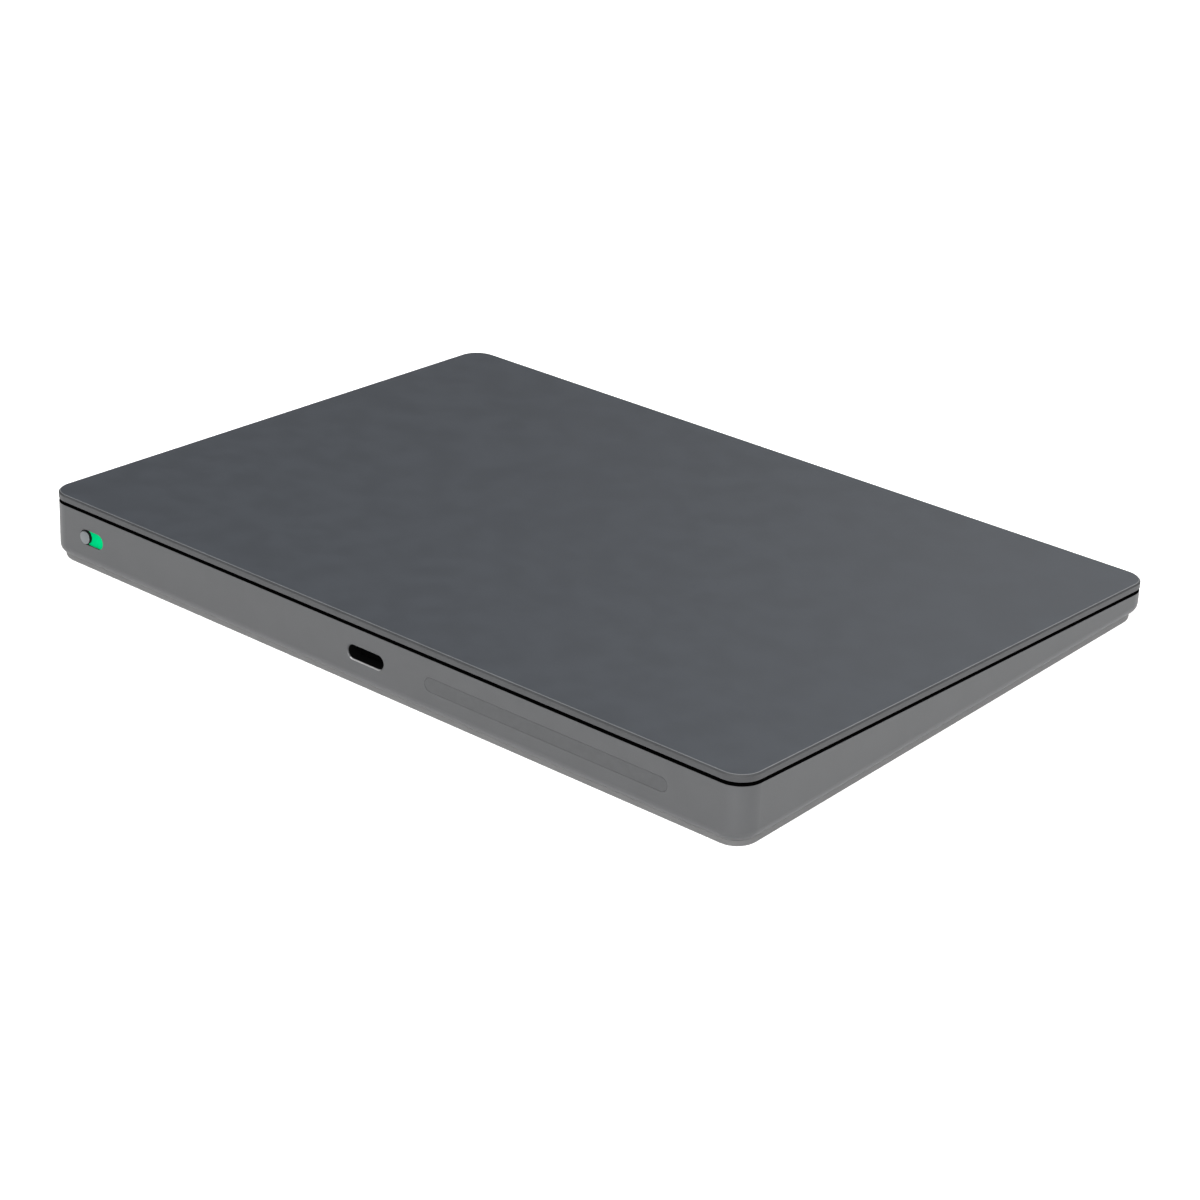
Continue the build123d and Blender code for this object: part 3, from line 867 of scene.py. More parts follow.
class Deck:
    """The sloping frame of the glass: X across, Y up the slope and Z square to it."""

    def __init__(self, frame: dict[str, Any]) -> None:
        """Reads the slope from the way that the plate presses.
        """
        press = next(joint for joint in frame["joints"] if joint["name"] == "plate_press")
        self.normal = -Vector(press["axis"]).normalized()
        self.nodes: dict[str, bpy.types.Object] = frame["nodes"]
        across = Vector((1.0, 0.0, 0.0))
        turn = Matrix((across, self.normal.cross(across), self.normal)).transposed()
        low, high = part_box("touch_glass")
        self.matrix = Matrix.Translation((low + high) / 2) @ turn.to_4x4()

    def solids(self, node: str, level: bool = False) -> list[Block]:
        """Finds each separate solid of a node.

        Args:
            node: The CAD node.
            level: Whether to measure square to the table instead of to the glass.

        Returns:
            The solids' boxes, from left to right and then front to rear.
        """
        frame = Matrix.Identity(4) if level else self.matrix
        inverse = frame.inverted()
        mesh = bmesh.new()
        mesh.from_mesh(self.nodes[node].data)
        bmesh.ops.remove_doubles(mesh, verts=mesh.verts, dist=WELD)
        unseen = set(mesh.verts)
        found = []
        for seed in mesh.verts:
            if seed not in unseen:
                continue
            unseen.discard(seed)
            island = [seed]
            for vert in island:
                for edge in vert.link_edges:
                    other = edge.other_vert(vert)
                    if other in unseen:
                        unseen.discard(other)
                        island.append(other)
            found.append(Block(frame, *corner_box([inverse @ vert.co for vert in island])))
        mesh.free()
        return sorted(found, key=lambda block: (round(block.low.x, 6), round(block.low.y, 6)))


class Workbench:
    """Builds a closed mesh out of stacked outlines, in a frame of its own."""

    def __init__(self, frame: Matrix) -> None:
        """Clears the bench."""
        self.frame = frame
        self.mesh = bmesh.new()

    def skin(self, rings: Sequence[Sequence[Vector]], finishes: Sequence[int] = ()) -> None:
        """Joins outlines into a closed skin, with a flat face at each end.

        Args:
            rings: Outlines with the same number of points, in order.
            finishes: Material number of each band, and last the face that closes the end.
        """
        rows = self._rows(rings)
        for number, (row, following) in enumerate(zip(rows, rows[1:])):
            self._band(row, following, finishes[number] if finishes else 0)
        self.mesh.faces.new(tuple(reversed(rows[0])))
        end = self.mesh.faces.new(tuple(rows[-1]))
        end.material_index = finishes[-1] if finishes else 0

    def tube(self, rings: Sequence[Sequence[Vector]]) -> None:
        """Joins outlines into a closed skin that goes round, so the last meets the first.

        Args:
            rings: Outlines with the same number of points, in order.
        """
        rows = self._rows(rings)
        for row, following in zip(rows, rows[1:] + rows[:1]):
            self._band(row, following, 0)

    def _rows(self, rings: Sequence[Sequence[Vector]]) -> list[list[bmesh.types.BMVert]]:
        """Sets out the outlines' points on the mesh."""
        return [[self.mesh.verts.new(self.frame @ spot) for spot in ring] for ring in rings]

    def _band(
        self, row: list[bmesh.types.BMVert], following: list[bmesh.types.BMVert], finish: int
    ) -> None:
        """Joins one outline to the next.

        Args:
            row: The outline's points.
            following: The next outline's points.
            finish: Material number of the band.
        """
        for place in range(len(row)):
            ahead = (place + 1) % len(row)
            face = self.mesh.faces.new((row[place], row[ahead], following[ahead], following[place]))
            face.material_index = finish

    def stack(
        self,
        middle: Vector,
        half: tuple[float, float],
        corner: float,
        profile: Sequence[tuple[float, float]],
        finishes: Sequence[int] = (),
        steps: int = 5,
    ) -> None:
        """Stacks rounded rectangles.

        Args:
            middle: Where the outlines are centred. Heights are measured from its Z.
            half: Half the length and half the width of the outline.
            corner: Radius of its corners.
            profile: Pairs of how far the outline is brought in, and its height, from the bottom.
            finishes: As for skin.
            steps: Number of spans in each rounded corner.
        """
        rings = []
        for inset, height in profile:
            sides = (half[0] - inset, half[1] - inset)
            radius = min(max(corner - inset, 0.12 * corner), *sides)
            outline = rounded_outline(sides, radius, steps)
            rings.append([middle + Vector((x, y, height)) for x, y in outline])
        self.skin(rings, finishes)

    def turned(
        self,
        middle: Vector,
        profile: Sequence[tuple[float, float, float]],
        sides: int = 24,
        finishes: Sequence[int] = (),
    ) -> None:
        """Stacks round outlines, as on a lathe.

        Args:
            middle: Where the outlines are centred. Heights are measured from its Z.
            profile: For each outline its radius, its height, and how far its six lobes stand out.
            sides: Number of sides.
            finishes: As for skin.
        """
        rings = []
        for radius, height, lobe in profile:
            ring = []
            for place in range(sides):
                angle = math.tau * place / sides
                reach = radius + lobe * math.cos(6 * angle)
                around = Vector((reach * math.cos(angle), reach * math.sin(angle), height))
                ring.append(middle + around)
            rings.append(ring)
        self.skin(rings, finishes)

    def block(self, low: Vector, high: Vector, ease: float) -> None:
        """Adds a box with eased edges.

        Args:
            low: Its lowest corner.
            high: Its highest corner.
            ease: Size of the bevel along its edges.
        """
        middle = (low + high) / 2
        side = high - low
        base = Vector((middle.x, middle.y, low.z))
        profile = [(ease, 0.0), (0.0, ease), (0.0, side.z - ease), (ease, side.z)]
        self.stack(base, (side.x / 2, side.y / 2), 2 * ease, profile, steps=1)

    def finish(self, name: str, crease: float = 32.0) -> bpy.types.Object:
        """Takes the mesh off the bench.

        Args:
            name: The piece's name.
            crease: Edges that turn by more degrees than this stay sharp.

        Returns:
            The piece.
        """
        bmesh.ops.recalc_face_normals(self.mesh, faces=self.mesh.faces)
        for face in self.mesh.faces:
            face.smooth = True
        for edge in self.mesh.edges:
            edge.smooth = edge.calc_face_angle(0.0) < math.radians(crease)
        return as_object(name, self.mesh)


def rounded_outline(
    half: tuple[float, float], radius: float, steps: int
) -> list[tuple[float, float]]:
    """Draws a rounded rectangle around the origin.

    Args:
        half: Half its length and half its width.
        radius: Radius of its corners.
        steps: Number of spans in each corner.

    Returns:
        Its points, anticlockwise.
    """
    points = []
    for quarter, (side, end) in enumerate(((1, 1), (-1, 1), (-1, -1), (1, -1))):
        for step in range(steps + 1):
            angle = math.pi / 2 * (quarter + step / steps)
            across = side * (half[0] - radius) + radius * math.cos(angle)
            along = end * (half[1] - radius) + radius * math.sin(angle)
            points.append((across, along))
    return points


class Recipe:
    """A Geometry Nodes tree that is applied to a mesh and leaves a plain mesh."""

    inputs: tuple[tuple[str, str], ...] = ()

    def __init__(self, name: str) -> None:
        """Makes the tree with its named inputs.

        Args:
            name: The tree's name.
        """
        self.tree = bpy.data.node_groups.new(name, "GeometryNodeTree")
        made = self.tree.interface.new_socket
        self.identifiers = {
            label: made(name=label, in_out="INPUT", socket_type=kind).identifier
            for label, kind in (("Base", "NodeSocketGeometry"), *self.inputs)
        }
        made(name="Result", in_out="OUTPUT", socket_type="NodeSocketGeometry")
        self.given = self.node("NodeGroupInput").outputs
        self.close(self.steps())

    def steps(self) -> bpy.types.NodeSocket:
        """Adds the tree's own nodes."""
        raise NotImplementedError

    def node(
        self,
        kind: str,
        settings: dict[str, Any] | None = None,
        inputs: dict[int | str, Any] | None = None,
    ) -> bpy.types.Node:
        """Adds a node.

        Args:
            kind: The node's type.
            settings: The node's own options.
            inputs: Values or sockets for its inputs.

        Returns:
            The new node.
        """
        made = self.tree.nodes.new(kind)
        for name, value in (settings or {}).items():
            setattr(made, name, value)
        for name, value in (inputs or {}).items():
            if isinstance(value, bpy.types.NodeSocket):
                self.tree.links.new(value, made.inputs[name])
            else:
                made.inputs[name].default_value = value
        return made

    def close(self, geometry: bpy.types.NodeSocket) -> None:
        """Ends the tree in real geometry that wears the finish.

        Args:
            geometry: What the steps made.
        """
        real = self.node("GeometryNodeRealizeInstances", None, {"Geometry": geometry})
        dressed = self.node(
            "GeometryNodeSetMaterial",
            None,
            {"Geometry": real.outputs[0], "Material": self.given["Finish"]},
        )
        self.node("NodeGroupOutput", None, {0: dressed.outputs[0]})

    def cook(
        self, name: str, base: bpy.types.Mesh, frame: Matrix, **values: Any
    ) -> bpy.types.Object:
        """Applies the tree.

        Args:
            name: The new piece's name.
            base: The mesh that the tree starts from.
            frame: The frame that the mesh is drawn in.
            values: The tree's inputs by name, with underscores for spaces.

        Returns:
            The piece, as a plain mesh in the part's frame.
        """
        holder = bpy.data.objects.new(name + "_base", base)
        bpy.context.scene.collection.objects.link(holder)
        modifier = holder.modifiers.new("recipe", "NODES")
        modifier.node_group = self.tree
        for label, value in values.items():
            modifier[self.identifiers[label.replace("_", " ")]] = value
        graph = bpy.context.evaluated_depsgraph_get()
        mesh = bpy.data.meshes.new_from_object(holder.evaluated_get(graph), depsgraph=graph)
        bpy.data.objects.remove(holder)
        mesh.name = name
        mesh.transform(frame)
        piece = bpy.data.objects.new(name, mesh)
        bpy.context.scene.collection.objects.link(piece)
        return piece


class CopyOnSpots(Recipe):
    """Stands a copy of a pattern piece on each point, turned by chance up to a limit."""

    FLOAT_MAX = 3  # the random node's float sockets among its typed ones
    FLOAT_RESULT = 1
    inputs = (
        ("Pattern", "NodeSocketObject"),
        ("Loose Turn", "NodeSocketFloat"),
        ("Seed", "NodeSocketInt"),
        ("Finish", "NodeSocketMaterial"),
    )

    def steps(self) -> bpy.types.NodeSocket:
        """Copies the pattern and loosens the copies."""
        pattern = self.node("GeometryNodeObjectInfo", None, {"Object": self.given["Pattern"]})
        points = self.node("GeometryNodeMeshToPoints", None, {"Mesh": self.given["Base"]})
        copies = self.node(
            "GeometryNodeInstanceOnPoints",
            None,
            {"Points": points.outputs[0], "Instance": pattern.outputs["Geometry"]},
        )
        chance = self.node(
            "FunctionNodeRandomValue",
            {"data_type": "FLOAT"},
            {self.FLOAT_MAX: self.given["Loose Turn"], "Seed": self.given["Seed"]},
        )
        spin = self.node("ShaderNodeCombineXYZ", None, {"Z": chance.outputs[self.FLOAT_RESULT]})
        loosened = self.node(
            "GeometryNodeRotateInstances",
            None,
            {"Instances": copies.outputs[0], "Rotation": spin.outputs[0]},
        )
        return loosened.outputs[0]


class WoundWire(Recipe):
    """Follows a path with round wire."""

    inputs = (
        ("Wire Radius", "NodeSocketFloat"),
        ("Sides", "NodeSocketInt"),
        ("Finish", "NodeSocketMaterial"),
    )

    def steps(self) -> bpy.types.NodeSocket:
        """Turns the path's edges into a tube."""
        path = self.node("GeometryNodeMeshToCurve", None, {"Mesh": self.given["Base"]})
        section = self.node(
            "GeometryNodeCurvePrimitiveCircle",
            None,
            {"Resolution": self.given["Sides"], "Radius": self.given["Wire Radius"]},
        )
        wire = self.node(
            "GeometryNodeCurveToMesh",
            None,
            {"Curve": path.outputs[0], "Profile Curve": section.outputs[0], "Fill Caps": True},
        )
        smooth = self.node("GeometryNodeSetShadeSmooth", None, {"Geometry": wire.outputs[0]})
        return smooth.outputs[0]


class Workshop:
    """What every sub-assembly needs: the deck's frame, the recipes and a way to hand pieces in."""

    PATTERN_SEED = 7

    def __init__(self, deck: Deck) -> None:
        """Makes the recipes.

        Args:
            deck: The deck's frame.
        """
        self.deck = deck
        self.copies = CopyOnSpots("copies_on_spots")
        self.wire = WoundWire("wound_wire")

    def hand_in(
        self, piece: bpy.types.Object, body: str | None, slot: Slot, *replaced: str
    ) -> None:
        """Dresses a piece, unless it has its finishes already, and fixes it to its body.

        Args:
            piece: The piece.
            body: The body that it rides on, or None for one that is left unattached.
            slot: Its material slot.
            replaced: The CAD nodes that it stands for.
        """
        if not piece.material_slots:
            slot.dress(piece)
        if body:
            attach(piece, body)
        if replaced:
            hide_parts(*replaced)
        faces = len(piece.data.polygons)
        LOG.info("%s: %d faces, on %s", piece.name, faces, body or "two bodies")

    def repeat(
        self, name: str, pattern: Workbench, spots: list[Vector], slot: Slot, loose: float = 0.0
    ) -> bpy.types.Object:
        """Copies a pattern piece over some places.

        Args:
            name: The new piece's name.
            pattern: The bench that holds the pattern piece, drawn around the origin.
            spots: The places, in the deck's frame.
            slot: The finish.
            loose: The most that a copy may be turned by chance, in radians.

        Returns:
            One plain mesh of all the copies.
        """
        model = pattern.finish(name + "_pattern")
        points = bpy.data.meshes.new("spots")
        points.from_pydata([tuple(spot) for spot in spots], [], [])
        piece = self.copies.cook(
            name,
            points,
            self.deck.matrix,
            Pattern=model,
            Loose_Turn=loose,
            Seed=self.PATTERN_SEED,
            Finish=slot.material(),
        )
        bpy.data.objects.remove(model)
        return piece


@dataclass
class TouchPlate:
    """The floating glass, and what hangs under it."""

    shop: Workshop
    corner: float = 4.3 * MM
    chamfer: float = 0.3 * MM
    seam: float = 0.045 * MM
    lower_ease: float = 0.06 * MM

    def build(self) -> None:
        """Builds the glass, the touch controller and the sensor socket."""
        (glass,) = self.shop.deck.solids("touch_glass")
        side = glass.size
        bench = Workbench(glass.frame)
        base = Vector((glass.middle.x, glass.middle.y, glass.low.z))
        profile = [
            (self.lower_ease, 0.0),
            (0.0, self.lower_ease),
            (0.0, side.z - self.chamfer),
            (self.chamfer - self.seam, side.z - self.seam),
            (self.chamfer + 1.4 * self.seam, side.z),
        ]
        # Material 2, the painted highlight, goes on the last band, where the chamfer meets the top.
        bench.stack(
            base, (side.x / 2, side.y / 2), self.corner, profile, (1, 1, 1, 2, 0), steps=16
        )
        plate = bench.finish("touch_surface", crease=12.0)
        for slot in (Slot.GLASS, Slot.GLASS_EDGE, Slot.GLASS_SEAM):
            plate.data.materials.append(slot.material())
        self.shop.hand_in(plate, "touch_plate", Slot.GLASS, "touch_glass")

        (chip,) = self.shop.deck.solids("touch_controller")
        Chip(self.shop, chip.turned_over(), "touch_plate", "touch_controller").build()
        (socket,) = self.shop.deck.solids("sensor_socket")
        Socket(self.shop, [socket.turned_over()], "touch_plate", "sensor_socket").build()


@dataclass
class Chip:
    """A moulded chip with gull-wing legs on its two long sides."""

    shop: Workshop
    block: Block
    body: str
    node: str = ""
    leg_reach: float = 0.45 * MM
    leg_root: float = 0.05 * MM
    leg_pitch: float = 0.5 * MM
    leg_width: float = 0.22 * MM
    leg_metal: float = 0.09 * MM
    stand_off: float = 0.06 * MM
    ease: float = 0.07 * MM

    def build(self) -> None:
        """Builds a chip that stands for a node of its own."""
        case = Workbench(self.block.frame)
        self.mould(case)
        name = self.node
        self.shop.hand_in(case.finish(name + "_case"), self.body, Slot.CHIP, name)
        legs = Workbench(self.block.frame)
        self.bend_legs(legs)
        self.shop.hand_in(legs.finish(name + "_legs"), self.body, Slot.SHIELD)

    def mould(self, bench: Workbench) -> None:
        """Moulds the case, with a dimple by its first leg.

        Args:
            bench: The bench to work on.
        """
        side = self.block.size
        base = Vector((self.block.middle.x, self.block.middle.y, self.block.low.z))
        top = side.z
        waist = (self.stand_off + top) / 2
        profile = [
            (1.6 * self.ease, self.stand_off),
            (0.0, waist - self.ease / 2),
            (0.0, waist + self.ease / 2),
            (1.3 * self.ease, top - self.ease),
            (2.0 * self.ease, top),
        ]
        half = (side.x / 2 - self.leg_reach, side.y / 2 - self.leg_root)
        bench.stack(base, half, 2 * self.ease, profile, steps=2)
        dot = 0.09 * min(side.x, side.y)
        mark = base + Vector((-half[0] + 3 * dot, half[1] - 3 * dot, top))
        rim = 0.1 * dot
        dimple = [(dot, -rim, 0), (dot, 0, 0), (0.8 * dot, 0, 0), (0.7 * dot, -rim / 2, 0)]
        bench.turned(mark, dimple)

    def bend_legs(self, bench: Workbench) -> None:
        """Bends a row of legs along both sides.

        Args:
            bench: The bench to work on.
        """
        side = self.block.size
        middle = self.block.middle
        floor = self.block.low.z
        count = max(3, int((side.y - self.leg_pitch) / self.leg_pitch))
        shoulder = self.stand_off + 0.45 * (side.z - self.stand_off)
        edge = side.x / 2
        root = edge - self.leg_reach - self.leg_root
        knee = edge - 0.6 * self.leg_reach
        ankle = edge - 0.45 * self.leg_reach
        line = [(root, shoulder), (knee, shoulder), (ankle, 0.0), (edge, 0.0)]
        for outward in (1, -1):
            for number in range(count):
                along = middle.y + (number - (count - 1) / 2) * self.leg_pitch
                rings = []
                for reach, height in line:
                    ring = []
                    for across, rise in ((-1, 0), (1, 0), (1, 1), (-1, 1)):
                        x = middle.x + outward * reach
                        y = along + across * self.leg_width / 2
                        ring.append(Vector((x, y, floor + height + rise * self.leg_metal)))
                    rings.append(ring)
                bench.skin(rings)


@dataclass
class Socket:
    """A low board connector with a pressed-in row of pins on each long side."""

    shop: Workshop
    blocks: list[Block]
    body: str
    node: str
    pin_pitch: float = 0.4 * MM
    pin: tuple[float, float, float] = (0.18 * MM, 0.3 * MM, 0.12 * MM)
    ease: float = 0.08 * MM
    mouth: float = 0.5 * MM

    def build(self) -> None:
        """Moulds the sockets and sets their pins."""
        case = Workbench(self.blocks[0].frame)
        pins = Workbench(self.blocks[0].frame)
        for block in self.blocks:
            side = block.size
            base = Vector((block.middle.x, block.middle.y, block.low.z))
            half = (side.x / 2, side.y / 2 - self.pin[1])
            depth = 0.35 * side.z
            profile = [
                (self.ease, 0.0),
                (0.0, self.ease),
                (0.0, side.z - self.ease),
                (self.ease, side.z),
                (self.mouth, side.z),
                (self.mouth + self.ease, side.z - depth),
            ]
            case.stack(base, half, 2 * self.ease, profile, steps=2)
            count = int((side.x - 4 * self.ease) / self.pin_pitch)
            for outward in (1, -1):
                for number in range(count):
                    across = (number - (count - 1) / 2) * self.pin_pitch
                    root = base + Vector((across, outward * half[1], 0.0))
                    reach = Vector((self.pin[0] / 2, self.pin[1], self.pin[2]))
                    corners = [
                        root - Vector((reach.x, 0, 0)),
                        root + Vector((reach.x, outward * reach.y, reach.z)),
                    ]
                    pins.block(*corner_box(corners), 0.02 * MM)
        replaced = case.finish(self.node + "_case")
        self.shop.hand_in(replaced, self.body, Slot.SOCKET, self.node)
        self.shop.hand_in(pins.finish(self.node + "_pins"), self.body, Slot.GOLD)


@dataclass
class Screws:
    """A set of small pan-head screws with a six-lobed recess."""

    shop: Workshop
    node: str
    body: str
    head_height: float = 0.55 * MM
    head_down: bool = False
    shank: float = 0.7 * MM
    thread_pitch: float = 0.3 * MM
    thread_depth: float = 0.08 * MM
    ease: float = 0.12 * MM

    def build(self) -> None:
        """Turns one screw and copies it to each of the node's screws."""
        blocks = self.shop.deck.solids(self.node)
        side = blocks[0].size
        stand = Matrix.Rotation(math.pi if self.head_down else 0.0, 4, "X")
        pattern = Workbench(stand)
        pattern.turned(Vector((0, 0, 0)), self.profile(side.x / 2, side.z))
        spots = []
        for block in blocks:
            face = block.low.z if self.head_down else block.high.z
            spots.append(Vector((block.middle.x, block.middle.y, face)))
        piece = self.shop.repeat(self.node + "_turned", pattern, spots, Slot.SCREW, math.pi / 3)
        self.shop.hand_in(piece, self.body, Slot.SCREW, self.node)

    def profile(self, head_radius: float, length: float) -> list[tuple[float, float, float]]:
        """Draws the screw from its tip up over its head and down into the recess.

        Args:
            head_radius: Radius of the head.
            length: Whole length of the screw.

        Returns:
            Radius, height and lobe of each outline, with the top of the head at zero.
        """
        under = -self.head_height
        root = self.shank - self.thread_depth
        tip = -length
        outline = [(0.35 * self.shank, tip, 0.0), (root, tip + self.ease, 0.0)]
        turns = int((length - self.head_height - self.thread_pitch) / self.thread_pitch)
        for number in range(turns):
            height = tip + (number + 0.5) * self.thread_pitch
            outline += [(root, height, 0.0), (self.shank, height + self.thread_pitch / 2, 0.0)]
        ease = self.ease
        outline += [
            (root, under - 0.05 * MM, 0.0),
            (self.shank, under, 0.0),
            (head_radius - ease / 2, under, 0.0),
            (head_radius, under + ease / 2, 0.0),
            (head_radius, -0.5 * self.head_height, 0.0),
            (head_radius - ease, -ease / 3, 0.0),
            (head_radius - 2 * ease, 0.0, 0.0),
            (0.5 * head_radius, 0.0, 0.07 * head_radius),
            (0.46 * head_radius, -0.03 * MM, 0.07 * head_radius),
            (0.44 * head_radius, -0.6 * self.head_height, 0.06 * head_radius),
        ]
        return outline


BOARD_OCCUPANTS = (
    "board_chips",
    "board_sockets",
    "processor_shield",
    "radio_shield",
    "board_screws",
    "sensor_ribbon",
    "switch_lead",
    "battery_lead",
    "haptic_lead",
    "usb_c_shell",
)


@dataclass
class LogicBoard:
    """The main board with its chips, cans, sockets and small parts."""

    shop: Workshop
    part_size: tuple[float, float, float] = (1.0 * MM, 0.5 * MM, 0.42 * MM)
    part_pitch: tuple[float, float] = (1.55 * MM, 1.05 * MM)
    part_share: float = 0.62
    part_cap: float = 0.24 * MM
    clearance: float = 0.55 * MM
    can_metal: float = 0.15 * MM
    can_ease: float = 0.3 * MM
    can_corner: float = 0.9 * MM
    can_panel: tuple[float, float, float] = (1.3 * MM, 1.45 * MM, 0.07 * MM)
    seed: int = 11

    def build(self) -> None:
        """Fills the board."""
        self._place_chips()
        Socket(self.shop, self.shop.deck.solids("board_sockets"), "housing", "board_sockets").build()
        for node in ("processor_shield", "radio_shield"):
            self._draw_can(node)
        Screws(self.shop, "board_screws", "housing").build()
        self._scatter_parts()

    def _place_chips(self) -> None:
        """Moulds all chips as one piece and their legs as another."""
        cases = Workbench(self.shop.deck.matrix)
        legs = Workbench(self.shop.deck.matrix)
        for block in self.shop.deck.solids("board_chips"):
            chip = Chip(self.shop, block, "housing")
            chip.mould(cases)
            chip.bend_legs(legs)
        self.shop.hand_in(cases.finish("board_chip_cases"), "housing", Slot.CHIP, "board_chips")
        self.shop.hand_in(legs.finish("board_chip_legs"), "housing", Slot.SHIELD)

    def _draw_can(self, node: str) -> None:
        """Draws a shield can: thin walls, soft top edges and a shallow pressed panel.

        Args:
            node: The can's CAD node.
        """
        (can,) = self.shop.deck.solids(node)
        side = can.size
        base = Vector((can.middle.x, can.middle.y, can.low.z))
        top = side.z
        ease = self.can_ease
        metal = self.can_metal
        panel, pressed, depth = self.can_panel
        bench = Workbench(can.frame)
        profile = [
            (metal + 2.5 * ease, top - metal),
            (metal + ease, top - metal),
            (metal, top - metal - ease),
            (metal, 0.0),
            (0.0, 0.0),
            (0.0, top - ease),
            (0.3 * ease, top - 0.3 * ease),
            (ease, top),
            (panel, top),
            (pressed, top - depth),
        ]
        bench.stack(base, (side.x / 2, side.y / 2), self.can_corner, profile, steps=6)
        self.shop.hand_in(bench.finish(node + "_can"), "housing", Slot.SHIELD, node)

    def _scatter_parts(self) -> None:
        """Solders small two-ended parts wherever the board is free."""
        (board,) = self.shop.deck.solids("logic_board")
        taken = []
        for node in BOARD_OCCUPANTS:
            taken += self.shop.deck.solids(node)
        chance = random.Random(self.seed)
        spots = []
        columns = int(board.size.x / self.part_pitch[0]) - 1
        rows = int(board.size.y / self.part_pitch[1]) - 1
        for column in range(columns):
            for row in range(rows):
                x = board.low.x + (column + 1) * self.part_pitch[0]
                y = board.low.y + (row + 1) * self.part_pitch[1]
                free = not any(self._covers(block, x, y) for block in taken)
                if chance.random() < self.part_share and free:
                    spots.append(Vector((x, y, board.high.z)))
        half = Vector((self.part_size[0] / 2, self.part_size[1] / 2, self.part_size[2]))
        cap = self.part_cap
        middle = Workbench(Matrix.Identity(4))
        low = Vector((cap - half.x, -0.94 * half.y, 0.02 * MM))
        middle.block(low, Vector((half.x - cap, 0.94 * half.y, 0.95 * half.z)), 0.03 * MM)
        ends = Workbench(Matrix.Identity(4))
        for side in (1, -1):
            outer = Vector((side * half.x, -half.y, 0))
            inner = Vector((side * (half.x - cap), half.y, half.z))
            ends.block(*corner_box([outer, inner]), 0.04 * MM)
        bodies = self.shop.repeat("small_part_bodies", middle, spots, Slot.SOCKET)
        self.shop.hand_in(bodies, "housing", Slot.SOCKET)
        tips = self.shop.repeat("small_part_ends", ends, spots, Slot.SHIELD)
        self.shop.hand_in(tips, "housing", Slot.SHIELD)

    def _covers(self, block: Block, x: float, y: float) -> bool:
        """Tells whether a part at a place would touch a block.

        Args:
            block: The block.
            x: The place across.
            y: The place up the slope.

        Returns:
            True if it would.
        """
        reach = self.part_size[0] / 2 + self.clearance
        inside_x = block.low.x - reach < x < block.high.x + reach
        return inside_x and block.low.y - self.clearance < y < block.high.y + self.clearance


@dataclass
class Battery:
    """Two pouch cells, crowned in the middle, with a sealed edge and tabs at the rear end."""

    shop: Workshop
    seal: float = 3.0 * MM
    seal_metal: float = 0.24 * MM
    fold: float = 0.35 * MM
    crown: float = 0.28 * MM
    edge: float = 1.1 * MM
    end_inset: float = 1.2 * MM
    fold_inset: float = 2.0 * MM
    tab: tuple[float, float, float] = (4.0 * MM, 2.4 * MM, 0.12 * MM)
    tab_from_end: float = 0.1 * MM

    def build(self) -> None:
        """Makes both cells."""
        for side in ("left", "right"):
            node = f"battery_cell_{side}"
            (block,) = self.shop.deck.solids(node, level=True)
            bench = Workbench(block.frame)
            self._fill_pouch(bench, block)
            self.shop.hand_in(bench.finish(node + "_pouch", 40.0), "housing", Slot.CELL, node)
            tabs = Workbench(block.frame)
            self._weld_tabs(tabs, block)
            self.shop.hand_in(tabs.finish(node + "_tabs"), "housing", Slot.SHIELD)

    def _fill_pouch(self, bench: Workbench, block: Block) -> None:
        """Shapes the filled pouch, its sealed end and its folded sides.

        Args:
            bench: The bench to work on.
            block: The cell's box.
        """
        side = block.size
        half = (side.x / 2 - self.fold, (side.y - self.seal) / 2)
        base = Vector((block.middle.x, block.middle.y - self.seal / 2, block.low.z))
        top = side.z
        edge = self.edge
        profile = [
            (1.2 * edge, 0.0),
            (0.6 * edge, 0.1 * edge),
            (0.15 * edge, 0.5 * edge),
            (0.0, edge),
            (0.0, top - self.crown - edge),
            (0.15 * edge, top - self.crown - 0.5 * edge),
            (0.6 * edge, top - self.crown - 0.1 * edge),
            (1.4 * edge, top - 0.75 * self.crown),
            (3.2 * edge, top - 0.35 * self.crown),
            (7.0 * edge, top - 0.08 * self.crown),
            (11.0 * edge, top),
        ]
        bench.stack(base, half, 1.6 * edge, profile, steps=6)
        waist = block.low.z + 0.45 * top
        low = Vector((block.low.x + self.end_inset, block.high.y - self.seal - edge, waist))
        high = Vector((block.high.x - self.end_inset, block.high.y, waist + self.seal_metal))
        bench.block(low, high, 0.05 * MM)
        for outward in (1, -1):
            outer = block.middle.x + outward * side.x / 2
            inner = outer - outward * self.fold
            corners = [
                Vector((outer, block.low.y + self.fold_inset, block.low.z + edge)),
                Vector((inner, block.high.y - self.seal - self.fold_inset, block.low.z + 0.72 * top)),
            ]
            bench.block(*corner_box(corners), 0.1 * MM)

    def _weld_tabs(self, bench: Workbench, block: Block) -> None:
        """Lays the two metal tabs on the sealed end.

        Args:
            bench: The bench to work on.
            block: The cell's box.
        """
        wide, long, thick = self.tab
        lift = block.low.z + 0.45 * block.size.z + self.seal_metal
        for across in (-0.22, 0.22):
            middle = block.middle.x + across * block.size.x
            low = Vector((middle - wide / 2, block.high.y - long, lift))
            high = Vector((middle + wide / 2, block.high.y - self.tab_from_end, lift + thick))
            bench.block(low, high, 0.03 * MM)


